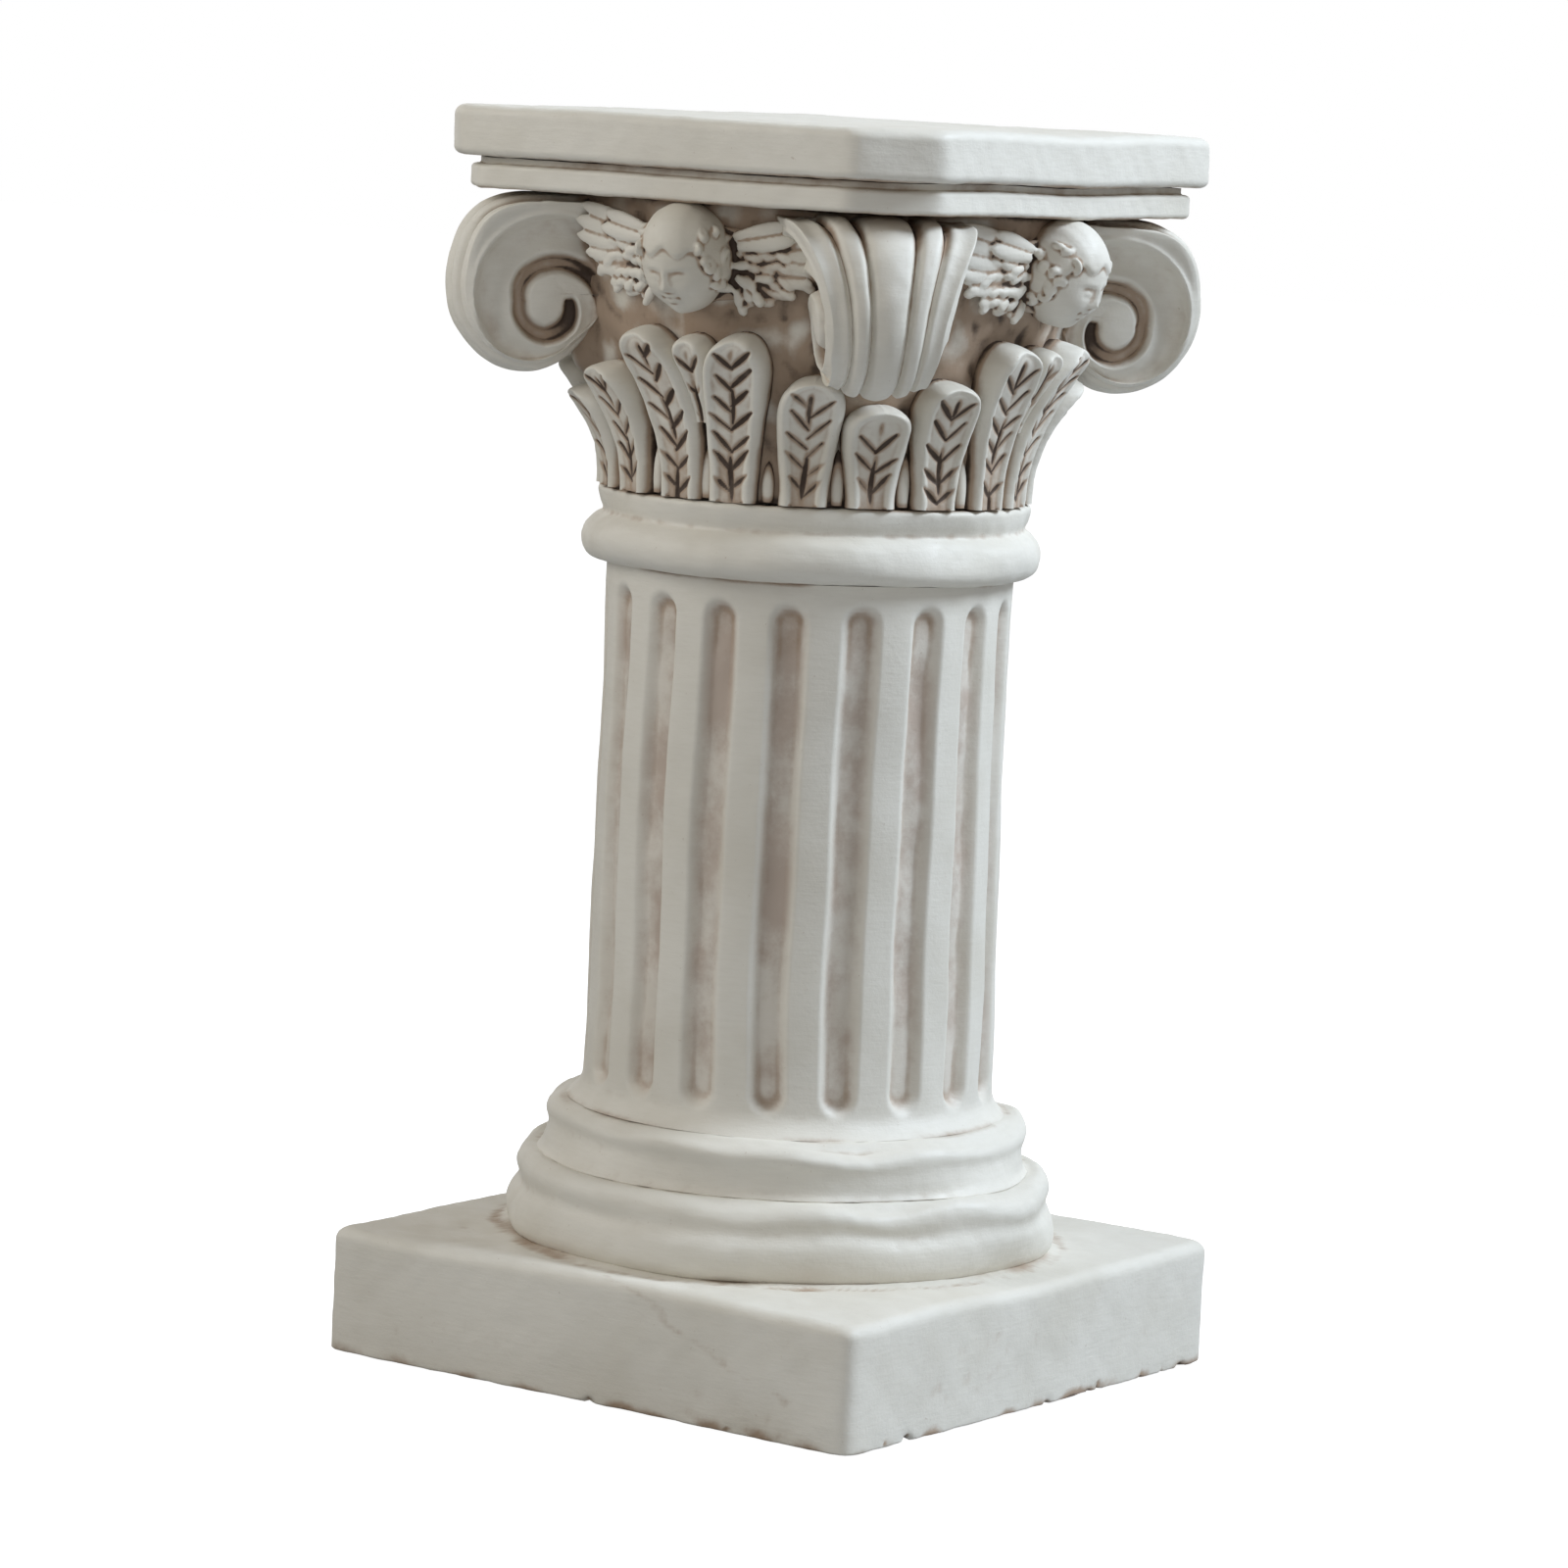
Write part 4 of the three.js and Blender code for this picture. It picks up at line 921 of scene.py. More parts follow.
class STAND_OT_leaves(bpy.types.Operator):
    """Build the twenty-four veined leaves round the bell"""

    bl_idname = "stand.leaves"
    bl_label = "Leaves"

    ROWS = 132
    ACROSS = 49

    # Heights in millimetres. Places beside the middle of a side, and lean of the tip, in degrees.
    CORNER_HEIGHT, SHORT_HEIGHT, TALL_HEIGHT, BACK_HEIGHT = 24, 30, 39, 38
    SHORT_ASIDE, TALL_ASIDE = 27, 7.8
    SHORT_SPLAY, TALL_SPLAY = 1.5, 5
    BACK_START = 0.46  # share of the back leaf's height that the tall pair hides
    LATE_CURL = 2.4  # how late up a leaf it curls out, as a power

    def execute(self, context):
        self.sizes = context.scene.stand_capital
        self.random = np.random.default_rng(7)
        for side, facing in SIDES.items():
            self.leaf(f"{side}_corner_leaf", facing + 45, self.CORNER_HEIGHT)
            self.leaf(f"{side}_back_leaf", facing, self.BACK_HEIGHT, 0.0, self.BACK_START, 1.6 * MM)
            for hand, name in ((-1, "left"), (1, "right")):
                beside = f"{side}_{name}"
                tall, short = facing + hand * self.TALL_ASIDE, facing + hand * self.SHORT_ASIDE
                self.leaf(f"{beside}_tall_leaf", tall, self.TALL_HEIGHT, hand * self.TALL_SPLAY)
                self.leaf(f"{beside}_short_leaf", short, self.SHORT_HEIGHT, hand * self.SHORT_SPLAY)
        return {"FINISHED"}

    def round_end(self, share, start, least):
        return np.sqrt(np.maximum(1 - (np.maximum(share - start, 0) / (1 - start)) ** 2, least ** 2))

    def open_width(self, share):
        """Half the width of a leaf before its tip is rounded."""
        return self.sizes.leaf_width / 2 * (0.77 + 0.23 * ramp(0.05, 0.72, share))

    def half_width(self, share):
        return self.open_width(share) * self.round_end(share, 0.72, 0.12)

    def back_width(self, share):
        """The back leaf fills the gap that the tall pair leaves."""
        tall = share * self.BACK_HEIGHT / self.TALL_HEIGHT
        back = bell_radius(BELL_FOOT + self.BACK_HEIGHT * MM * share)
        room = np.radians(self.TALL_ASIDE + self.TALL_SPLAY * tall ** 2) * back - self.open_width(tall)
        return np.maximum(room + 1.5 * MM, 1.2 * MM) * self.round_end(share, 0.78, 0.15)

    def leaf(self, node, facing, height, splay=0.0, start=0.0, sunk=0.0):
        """One leaf. start is the share of its height that other leaves hide, which only the back leaves have."""
        height = height * MM
        run = 1 - (1 - np.linspace(0, 1, self.ROWS)) ** 1.35
        share = (start + (1 - start) * run)[:, None]
        level = BELL_FOOT + height * share
        half = self.back_width(share) if start else self.half_width(share)
        back = bell_radius(level) + 0.1 * MM
        across = np.linspace(-1, 1, self.ACROSS)[None, :]
        up = (share - start) * height
        from_edge = self.from_edge(across * half, up, half)
        relief, cut, panel = self.carving(across * half, up, from_edge, (1 - start) * height)
        body = self.sizes.leaf_thickness + self.sizes.leaf_throw * share ** self.LATE_CURL - sunk
        body = body * self.round_end(share, 0.84, 0.22)
        edge = 0.3 + 0.7 * np.sqrt(1 - (1 - np.minimum(from_edge / (2.4 * MM), 1)) ** 2)
        face = back + body * edge + relief
        hem = [back + body * f * 0.3 for f in (0.55, 0.1)]
        radius = np.concatenate([face, *hem, *[back - 0.5 * MM] * 3, hem[1], hem[0]], 1)
        behind = [1, 1, 0.9, 0, -0.9, -1, -1]
        across = np.append(across, [behind], 1)
        jitter = self.random.normal(0, 0.5)
        angle = np.radians(facing + ORNAMENT_TURN + jitter * share + splay * share ** 2) + across * half / back
        points, faces = skin(spun(radius, angle, level))
        carved = np.zeros(radius.shape)
        carved[:, :self.ACROSS] = cut * 1.35 + panel * 0.17
        # The bell term is wash and painted shade where the leaf meets the bell; the cut veins and the panel hold
        # wash.
        dirt = bell_wash_and_shade(points, 4.2 * MM) * 0.95 + np.append(carved, [0, 0]) + 0.04
        casting(node, points, faces, dirt, "washed_plaster")

    def from_edge(self, aside, up, half):
        """Distance of each point of a leaf from its outline, which runs over the tip and not under the foot."""
        side, level = half[:, 0], up[:, 0]
        tip = np.linspace(-1, 1, 15) * side[-1]
        outline_x = np.concatenate([side, -side, tip])
        outline_z = np.concatenate([level, level, np.full(15, level[-1] + 0.3 * MM)])
        gap = np.hypot(aside[..., None] - outline_x, up[..., None] - outline_z)
        return np.minimum(gap.min(-1), 9 * MM)

    def carving(self, aside, up, from_edge, height):
        """The raised rim, the sunk panel and the cut veins of a leaf.

        Gives how far each point moves out, how deep it is cut and whether it lies in the panel, the last two
        from 0 to 1.
        """
        sizes = self.sizes
        rim = hump(from_edge - 0.7 * sizes.rim_width, sizes.rim_width) * 0.5 * MM
        panel = ramp(0.95 * sizes.rim_width, 1.5 * sizes.rim_width, from_edge)
        wander = 0.3 * MM * np.sin(up / (3.5 * MM) + self.random.uniform(0, 6))
        midrib = hump(aside - wander, 0.9 * MM) * ramp(height - 3.5 * MM, height - 6 * MM, up)
        cut = midrib * np.clip(0.45 + 0.5 * np.sin(up / (2.6 * MM) + self.random.uniform(0, 6)), 0.1, 0.85)
        for hand in (-1, 1):
            root = self.random.uniform(1, 3.5) * MM
            bold = self.random.uniform(0.5, 1)
            while root < height - 7 * MM:
                long = self.random.uniform(4.6, 6.2) * MM
                slope = self.random.uniform(0.8, 1.25)
                strength = self.random.uniform(0.65, 1) * bold * (0.65 + 0.45 * ramp(0.1, 0.5, root / height))
                cut = np.maximum(cut, self.vein(hand * aside, up - root, long, slope) * strength)
                root += sizes.vein_pitch * self.random.uniform(0.85, 1.15)
        inside = ramp(0.6 * sizes.rim_width, 1.05 * sizes.rim_width, from_edge)
        cut = np.clip(cut * inside, 0, 1)
        return rim - 0.45 * MM * panel - cut * sizes.vein_depth, cut, panel

    def vein(self, aside, up, long, slope):
        """One straight cut from the midrib up and out. It is widest in its middle."""
        step = math.hypot(1, slope)
        along = np.clip((aside + up * slope) / step, 0, long)
        off = np.hypot(aside - along / step, up - along * slope / step)
        return hump(off, 1.15 * MM * (0.6 + 0.4 * np.sin(np.pi * along / long)))


class STAND_OT_scrolls(bpy.types.Operator):
    """Build the four corner scrolls, with a spiral on both sides and a ribbed edge"""

    bl_idname = "stand.scrolls"
    bl_label = "Corner scrolls"

    ROUND = 200
    FACE = 60
    BAND = 104

    # The carving of a side. Radii are in millimetres round the carved eye, which lies a little nearer to the
    # bell and lower than the middle of the scroll. Turns are counted from the side next to the bell: down, out
    # and up.
    EYE_SHIFT = (-2.2 * MM, -2.0 * MM)
    CUT_TURNS = (-0.05, 0.03, 0.12, 0.25, 0.5, 0.75, 0.87, 0.95, 1.03)
    CUT = (5.2, 5.9, 7.0, 7.6, 6.1, 8.6, 10.7, 12.1, 13.6)
    CUT_HALF = (1.3, 2.4, 3.0, 3.1, 2.5, 3.2, 3.0, 2.2, 1.6)
    BAND_TURNS = (-0.2, -0.12, 0, 0.125, 0.25, 0.375, 0.5, 0.625, 0.75, 0.87, 1.1)
    BAND_INNER = (5.6, 6.5, 7.5, 9.5, 9.7, 8.8, 7.5, 8.1, 10.7, 12.4, 15)
    BAND_OUTER = (6.9, 8.7, 12.2, 13.9, 15.2, 16.2, 16.8, 18.6, 20.0, 21.2, 22.5)
    EYE_RADIUS, EYE_RISE = 4.8, 0.6
    CUT_DEPTH, BAND_DEPTH = 3.1, 2.6
    CUTS = (0.315, 0.645)  # places of the cuts on the edge, from its middle to its side
    ROOT_REACH = 42 * MM  # how near to the axis the band goes into the bell
    WEAR_ROUNDS, WEAR_REACH = 8, 5  # how often the worn edges are smoothed, and how many columns beside them

    def execute(self, context):
        self.sizes = context.scene.stand_capital
        self.peak = self.sizes.scroll_rise
        self.eye_level = BELL_TOP - self.peak
        self.sole = self.eye_level - float(self.outline(np.array(0.25)))
        for side, facing in SIDES.items():
            self.scroll(f"{side}_corner_scroll", facing + 45)
        return {"FINISHED"}

    def outline(self, turn):
        """Distance from the eye to the scroll's edge, in each direction."""
        sizes = self.sizes
        fuller = 1 + 0.07 * hump(turn - 0.25, 0.2) + 0.09 * hump(turn - 0.65, 0.12)
        curl = sizes.scroll_radius * sizes.scroll_growth ** np.minimum(turn, 0.75) * fuller
        angle = np.pi + 2 * np.pi * turn
        top = self.peak / np.maximum(np.sin(angle), 1e-3)
        root = (sizes.eye_reach - self.ROOT_REACH) / np.maximum(-np.cos(angle), 1e-3)
        curl = np.where(turn > 0.55, np.minimum(curl, top), curl)
        return np.where(turn > 0.75, np.minimum(top, root), curl)

    def half_width(self, level):
        run = np.clip((level - self.sole) / (BELL_TOP - self.sole), -0.1, 1)
        narrow, wide = self.sizes.scroll_foot_width / 2, self.sizes.scroll_head_width / 2
        return narrow + (wide - narrow) * (0.12 * run + 0.88 * np.maximum(run, 0) ** 2.7)

    def scroll(self, node, facing):
        turn = np.linspace(0, 1, self.ROUND)[:, None]
        edge = self.outline(turn)
        across = self.columns()
        ribs, rib_cut = self.ribs(across, turn)
        distance = np.linspace(0, 1, self.FACE)[None, :] * (edge - self.crown(1, turn))
        relief, cut = self.spiral(turn, distance, edge - self.crown(1, turn))
        angle = np.pi + 2 * np.pi * turn
        radii = np.concatenate([distance, edge + ribs, distance[:, ::-1]], 1)
        level = self.eye_level + radii * np.sin(angle)
        half = self.half_width(level)
        f, b = self.FACE, self.BAND
        aside = np.empty_like(half)
        aside[:, :f] = -(half[:, :f] + relief)
        aside[:, f:f + b] = half[:, f:f + b] * across * 0.995
        aside[:, f + b:] = (half[:, f + b:] + relief[:, ::-1])
        rows = np.stack([self.sizes.eye_reach + radii * np.cos(angle), aside, level], -1)
        rows[..., 2] = np.minimum(rows[..., 2], BELL_TOP - 0.1 * MM)
        self.soften_edges(rows)
        columns = np.swapaxes(rows, 0, 1)[1:-1]
        points, faces = skin(columns)
        rib_cut = rib_cut * (0.16 + 0.75 * ramp(BELL_TOP - 12 * MM, BELL_TOP - 2 * MM, level[:, f:f + b]))
        cuts = np.concatenate([cut, rib_cut, cut[:, ::-1]], 1).T[1:-1].ravel()
        points = turned(points, facing)
        # The bell term is wash and painted shade where the scroll meets the bell.
        dirt = np.concatenate([cuts, [0, 0]]) + bell_wash_and_shade(points, 4.5 * MM) * 0.6
        dirt = dirt + hump(points[:, 2] - BELL_TOP, 2.5 * MM) * 0.18
        casting(node, points, faces, dirt)

    def soften_edges(self, rows):
        """Wears the two edges between the ribbed band and the carved sides round."""
        for _ in range(self.WEAR_ROUNDS):
            for edge in (self.FACE, self.FACE + self.BAND):
                low, high = edge - self.WEAR_REACH, edge + self.WEAR_REACH
                beside = (rows[:, low - 1:high - 1] + rows[:, low + 1:high + 1]) / 4
                rows[:, low:high] = rows[:, low:high] / 2 + beside

    def columns(self):
        """Places across the edge, from side to side, closer together beside the cuts."""
        fine = np.linspace(-1, 1, 2001)
        beside_cuts = sum(hump(np.abs(fine) - cut, 0.09) for cut in self.CUTS)
        run = np.cumsum(1 + 3 * beside_cuts + 2 * hump(1 - np.abs(fine), 0.06))
        return np.interp(np.linspace(run[0], run[-1], self.BAND + 2)[1:-1], run, fine)[None, :]

    def crown(self, across, turn):
        """How far the edge lies in from its middle rib."""
        live = ramp(0.02, 0.15, turn) * ramp(0.95, 0.8, turn) * (1 - 0.45 * ramp(0.55, 0.75, turn))
        return self.sizes.crown * np.abs(across) ** 1.7 * live

    def spiral(self, turn, distance, edge):
        """The carved side: the round eye, the wide cut that winds out from it, the hollow band and its rim."""
        angle = np.pi + 2 * np.pi * turn
        x = distance * np.cos(angle) - self.EYE_SHIFT[0]
        z = distance * np.sin(angle) - self.EYE_SHIFT[1]
        radius = np.hypot(x, z) / MM
        turn = np.mod(np.arctan2(z, x) / (2 * np.pi) - 0.5, 1)
        rise = self.EYE_RISE * np.clip(1 - (radius / self.EYE_RADIUS) ** 2, 0, 1)
        dirt = np.zeros_like(distance)
        for lap in (-1, 0, 1):
            at = turn + lap
            live = ramp(-0.05, 0.0, at) * ramp(1.05, 0.98, at)
            off = np.abs(radius - np.interp(at, self.CUT_TURNS, self.CUT))
            trench = ramp(1.0, 0.3, off / np.interp(at, self.CUT_TURNS, self.CUT_HALF)) * live
            inner = np.interp(at, self.BAND_TURNS, self.BAND_INNER)
            outer = np.interp(at, self.BAND_TURNS, self.BAND_OUTER)
            share = np.clip((radius - inner) / (outer - inner), 0, 1)
            live = ramp(-0.08, 0.14, at) * ramp(1.12, 1.0, at)
            bowl = np.sin(np.pi * share ** 1.3) * live * np.minimum((outer - inner) / 7, 1)
            rims = (0.8 * hump(radius - outer, 1.5) + 0.5 * hump(radius - inner, 1.3)) * live
            rise = rise - self.CUT_DEPTH * trench - self.BAND_DEPTH * bowl + rims
            # Brown wash in the winding cut, and painted shade in the hollow band (the bowl term).
            dirt = dirt + trench * (0.5 + 0.5 * ramp(0.3, 0.05, at)) + 0.13 * bowl
        lip = np.minimum(edge - distance, 1.6 * MM) / (1.6 * MM)
        rim = 1.0 * MM * (1 - np.sqrt(np.clip(1 - (1 - lip) ** 2, 0, 1)))
        return rise * MM - rim, dirt

    def ribs(self, across, turn):
        """Rounded ribs along the crowned edge, narrow cuts between them, and a hollow flare at each side."""
        off = np.abs(across)
        cuts = sum(hump(off - cut, 0.085) for cut in self.CUTS)
        middle = np.where(off < self.CUTS[0], 0, sum(self.CUTS) / 2)
        swell = np.clip(np.abs(off - middle) / 0.25, 0, 1) ** 2 * 0.38
        flare = np.sin(np.pi * np.clip((off - self.CUTS[1]) / (1 - self.CUTS[1]), 0, 1)) * 0.5
        fade = ramp(0.06, 0.2, turn) * ramp(0.9, 0.8, turn) * (0.7 + 0.3 * ramp(0.4, 0.7, turn))
        depth = (cuts + np.where(off < self.CUTS[1], swell, flare)) * self.sizes.rib_depth * fade
        return -depth - self.crown(across, turn), cuts * fade


class STAND_OT_winged_heads(bpy.types.Operator):
    """Build the four winged heads"""

    bl_idname = "stand.winged_heads"
    bl_label = "Winged heads"

    HEAD_HALVES = (10.2, 9.9, 12.0)  # half its depth, width and height in millimetres
    VOXEL = 0.38 * MM  # the grain at which the parts melt together

    # Forms of a child's face on the unit head: side, height, half width, half height, swell.
    FACE_FORMS = (
        (0.00, 0.34, 0.50, 0.26, 0.020), (0.30, 0.11, 0.20, 0.06, 0.030), (0.31, -0.02, 0.17, 0.10, -0.085),
        (0.31, -0.05, 0.12, 0.07, 0.060), (0.31, -0.14, 0.13, 0.03, -0.020), (0.00, -0.04, 0.06, 0.16, 0.060),
        (0.00, -0.24, 0.09, 0.10, 0.150), (0.11, -0.29, 0.06, 0.05, 0.060), (0.00, -0.37, 0.10, 0.04, -0.030),
        (0.42, -0.36, 0.26, 0.22, 0.060), (0.06, -0.45, 0.08, 0.04, 0.055), (0.00, -0.50, 0.17, 0.028, -0.055),
        (0.00, -0.56, 0.11, 0.045, 0.060), (0.22, -0.50, 0.05, 0.05, -0.035), (0.00, -0.66, 0.15, 0.05, -0.035),
        (0.00, -0.80, 0.20, 0.14, 0.070))

    # Places of the curls on one half of the unit head: forward, aside and up.
    CURLS = (
        (0.62, 0.70, 0.42), (0.40, 0.90, 0.18), (0.36, 0.95, -0.12), (0.22, 0.95, -0.38), (0.05, 1.0, 0.05),
        (0.0, 0.85, -0.55), (0.48, 0.78, 0.62), (0.52, 0.86, 0.02), (0.1, 0.85, 0.6), (-0.2, 0.9, 0.3))

    def execute(self, context):
        self.sizes = context.scene.stand_capital
        self.level = (foot("front_winged_head") + head("front_winged_head")) / 2
        pattern = self.pattern()
        for side, facing in SIDES.items():
            mesh = pattern.copy()
            points = hand_cast(turned(points_of(pattern), facing + ORNAMENT_TURN))
            move_points(mesh, points)
            deep = hollows(mesh, 0.45 * MM, 14) * 1.5
            fine = hollows(mesh, 0.16 * MM, 4) * 0.6
            # The bell term is wash and painted shade where the head and wings meet the bell; the hollows hold wash.
            set_wash(mesh, deep + fine + bell_wash_and_shade(points, 4.2 * MM) * 0.7 + 0.06)
            node = f"{side}_winged_head"
            place(f"{node}_casting", mesh, [node], "washed_plaster")
        return {"FINISHED"}

    def pattern(self):
        """One winged head round +X: face, hair, curls and feathers melted into one casting."""
        parts = [self.head(), self.curls(), self.feathers(), self.tufts(), self.wing_core()]
        holder = put("winged_head", merged("winged_head", parts))
        melt = holder.modifiers.new("melt", "REMESH")
        melt.mode, melt.voxel_size = "VOXEL", self.VOXEL
        soften = holder.modifiers.new("soften", "SMOOTH")
        soften.factor, soften.iterations = 0.5, 2
        mesh = applied(holder)
        bpy.data.objects.remove(holder)
        return mesh

    def head(self):
        """The face and the cap of straight hair over it, from the forms on a unit ball."""
        latitude, longitude = np.linspace(-np.pi / 2, np.pi / 2, 110)[1:-1, None], around(150)[None, :]
        x, y = np.cos(latitude) * np.cos(longitude), np.cos(latitude) * np.sin(longitude)
        z = np.sin(latitude) + 0 * longitude
        front = ramp(0.05, 0.45, x)
        swell = np.zeros_like(x)
        for side, height, wide, tall, amount in self.FACE_FORMS:
            swell += amount * np.exp(-((np.abs(y) - side) / wide) ** 2 - ((z - height) / tall) ** 2)
        radius = 1 + front * swell
        hair = ramp(-0.04, 0.04, z - (0.40 - 1.25 * np.clip(0.75 - x, 0, 1.2) + 0.08 * np.cos(9 * y)))
        strands = np.sin(16 * y + 5 * z) * 0.009 * ramp(0.15, 0.5, np.abs(y))
        radius = radius + hair * (0.07 + strands)
        jaw = 1 - 0.12 * ramp(-0.1, -0.9, z)
        deep, wide, tall = self.HEAD_HALVES
        rows = np.stack([x * radius * deep, y * radius * wide * jaw, z * radius * tall], -1) * MM
        return mesh_of("head", *skin(self.seated(rows)))

    def seated(self, points):
        """Tilts points of the head down and takes them to their place."""
        nod = self.sizes.nod
        x, z = points[..., 0].copy(), points[..., 2].copy()
        points = points.copy()
        points[..., 0] = x * math.cos(nod) + z * math.sin(nod)
        points[..., 2] = -x * math.sin(nod) + z * math.cos(nod)
        return points + [self.sizes.head_reach, 0, self.level - 0.2 * MM]

    def scatter_tree(self):
        """Sets a pattern on each point, with the point's own turn and size."""
        tree, nodes, inputs = geometry_tree("set_round_head", {"Pattern": "Object"})
        pattern = nodes.add("GeometryNodeObjectInfo", inputs["Pattern"], output=4)
        turn = nodes.add("GeometryNodeInputNamedAttribute", "turn", data_type="FLOAT_VECTOR")
        size = nodes.add("GeometryNodeInputNamedAttribute", "size", data_type="FLOAT_VECTOR")
        turn = nodes.add("FunctionNodeEulerToRotation", turn)
        plant(nodes, inputs["Geometry"], pattern, turn, size)
        return tree

    def scattered(self, spots, pattern):
        """One mesh with the pattern on every spot, which gives its place, turn and size."""
        places, turns, sizes = zip(*spots)
        start = bpy.data.meshes.new("places")
        start.from_pydata([tuple(p) for p in places], [], [])
        for name, values in (("turn", turns), ("size", sizes)):
            field = start.attributes.new(name, "FLOAT_VECTOR", "POINT")
            field.data.foreach_set("vector", np.array(values, np.float32).ravel())
        holder = bpy.data.objects.new("pattern", pattern)
        mesh = grow(self.scatter_tree(), start, {"Pattern": holder})
        bpy.data.objects.remove(holder)
        return mesh

    def curls(self):
        """Locks of hair down both sides of the face and over the brow."""
        random = np.random.default_rng(3)
        spots = [(ahead, hand * aside, up) for ahead, aside, up in self.CURLS for hand in (-1, 1)]
        outward = np.array(spots) + random.normal(0, 0.05, (len(spots), 3))
        outward /= np.linalg.norm(outward, axis=1)[:, None]
        places = self.seated(outward * [10.6 * MM, 10.3 * MM, 12.2 * MM])
        tilted = outward + random.normal(0, 0.5, outward.shape)
        turns = [Vector(o).to_track_quat("Z", "Y").to_euler() for o in tilted]
        sizes = random.uniform(0.6, 1.15, (len(spots), 3)) * [[1.9 * MM, 1.9 * MM, 2.1 * MM]]
        return self.scattered(zip(places, turns, sizes), self.curl_mesh())

    def curl_mesh(self):
        """A drilled curl of unit radius that faces +Z."""
        ring, tube = around(16)[:, None], around(9)[None, :]
        reach_out = 0.5 + 0.5 * np.cos(tube)
        rows = np.stack([reach_out * np.cos(ring), reach_out * np.sin(ring), 0.5 * np.sin(tube) + 0 * ring], -1)
        return mesh_of("curl", *skin(rows, ring=True))

    FEATHER_THICKNESS = 1.5 * MM
    WING_REACH = 29 * MM  # of the plate behind the feathers

    # Feathers of a wing: root and tip beside and over the head's middle, half width and lift, in millimetres.
    LONG_FEATHERS = (
        (12, 5, 33, 10, 1.9, 1.8), (12, 3, 35, 6.6, 2.2, 1.8), (12, 1, 34.5, 3, 2.3, 1.7),
        (12, -0.8, 32, -0.8, 2.2, 1.5), (12, -2.4, 28.5, -4.4, 2.2, 1.3), (12, -4, 24.5, -7.4, 2.1, 1.2),
        (11, -5, 19.5, -9.4, 2, 1.1), (10, -5.6, 14.5, -10, 1.8, 1.1))
    SHORT_FEATHERS = ((11, 5.2, 24, 8.6, 1.8, 2.8), (12, 3.2, 25.5, 5.2, 1.9, 3.1))

    def feathers(self):
        """Long plain feathers that fan out to the wing's scalloped edge, and shorter ones over them."""
        spots = []
        for hand in (-1, 1):
            for root, rise, tip, tip_rise, wide, lift in self.LONG_FEATHERS + self.SHORT_FEATHERS:
                aside, up = tip - root, tip_rise - rise
                climb = math.degrees(math.atan2(up, aside))
                spots.append(self.spot(hand, root, rise, climb, math.hypot(aside, up), wide, lift))
        return self.scattered(spots, self.feather_mesh())

    def tufts(self):
        """The short, ruffled feathers that cover the wing beside the head."""
        random = np.random.default_rng(5)
        spots = []
        for hand in (-1, 1):
            for aside in np.arange(11, 27, 2.5):
                for rise in np.arange(-9, 4, 2.6):
                    if abs(rise + 2.6) < 6.8 - 0.28 * (aside - 11):
                        climb = math.degrees(math.atan2(rise + 2, aside - 6)) - 12 + random.uniform(-26, 26)
                        spots.append(self.spot(
                            hand, aside + random.uniform(-0.6, 0.6), rise + random.uniform(-0.6, 0.6), climb,
                            random.uniform(3.2, 4.4), random.uniform(1, 1.4), random.uniform(2.2, 3.1)))
        return self.scattered(spots, self.feather_mesh())

    def spot(self, hand, aside, rise, climb, long, wide, proud):
        """Place, turn and size of one feather on the bell, from its root beside the head and its direction."""
        level = self.level + rise * MM
        back = bell_radius(level) + proud * MM
        angle = hand * aside * MM / back
        outward = Vector((math.cos(angle), math.sin(angle), 0))
        level_way = Vector((-math.sin(angle), math.cos(angle), 0)) * hand
        along = level_way * math.cos(math.radians(climb)) + Vector((0, 0, 1)) * math.sin(math.radians(climb))
        across = outward.cross(along)
        place_on = outward * back + Vector((0, 0, level))
        turn = Matrix((along, across, outward)).transposed().to_euler()
        return place_on, turn, (long * MM, wide * MM, self.FEATHER_THICKNESS)

    def feather_mesh(self):
        """A feather of unit length and half width along +X, that faces +Z and has a raised middle."""
        run = np.linspace(0, 1, 14)[:, None]
        tip = np.sqrt(np.clip(1 - (2 * np.maximum(run - 0.5, 0)) ** 2.4, 0.02, 1))
        wide = tip * (0.55 + 0.45 * np.sin(np.minimum(run * 1.6, 1) * np.pi / 2))
        angles = around(12)[None, :]
        rows = np.stack([run + 0 * angles, wide * np.cos(angles), 0.6 * np.sqrt(wide) * np.sin(angles)], -1)
        return mesh_of("feather", *skin(rows))

    def wing_core(self):
        """The thin plate behind the feathers."""
        run = np.linspace(0, 1, 30)[:, None]
        aside = (-1 + 2 * run) * self.WING_REACH
        far = np.abs(-1 + 2 * run)
        top = self.level + (8.0 - 2.5 * far) * MM
        low = self.level + (-9.5 + 7 * far ** 2) * MM
        loop = [(0, 0), (0.25, 0), (0.5, 0), (0.75, 0), (1, 0), (1, 1), (0.75, 1), (0.5, 1), (0.25, 1), (0, 1)]
        rise, out = np.array(loop).T
        level = low + (top - low) * rise[None, :]
        radius = bell_radius(level) - 0.8 * MM + out[None, :] * 2.6 * MM
        return mesh_of("wing_core", *skin(spun(radius, aside / radius, level)))


# ---- Fittings and stage ----

class STAND_OT_fittings(bpy.types.Operator):
    """Finish the tie rod, its nuts and washers, and the felt pads, which keep the frame's own shapes"""

    bl_idname = "stand.fittings"
    bl_label = "Rod and felt pads"

    def execute(self, context):
        for node in ("tie_rod", "plinth_washer", "plinth_nut", "bell_washer", "bell_nut"):
            dress(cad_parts[node].data, "steel")
        for i in range(1, 5):
            dress(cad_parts[f"felt_pad_{i}"].data, "felt")
        return {"FINISHED"}


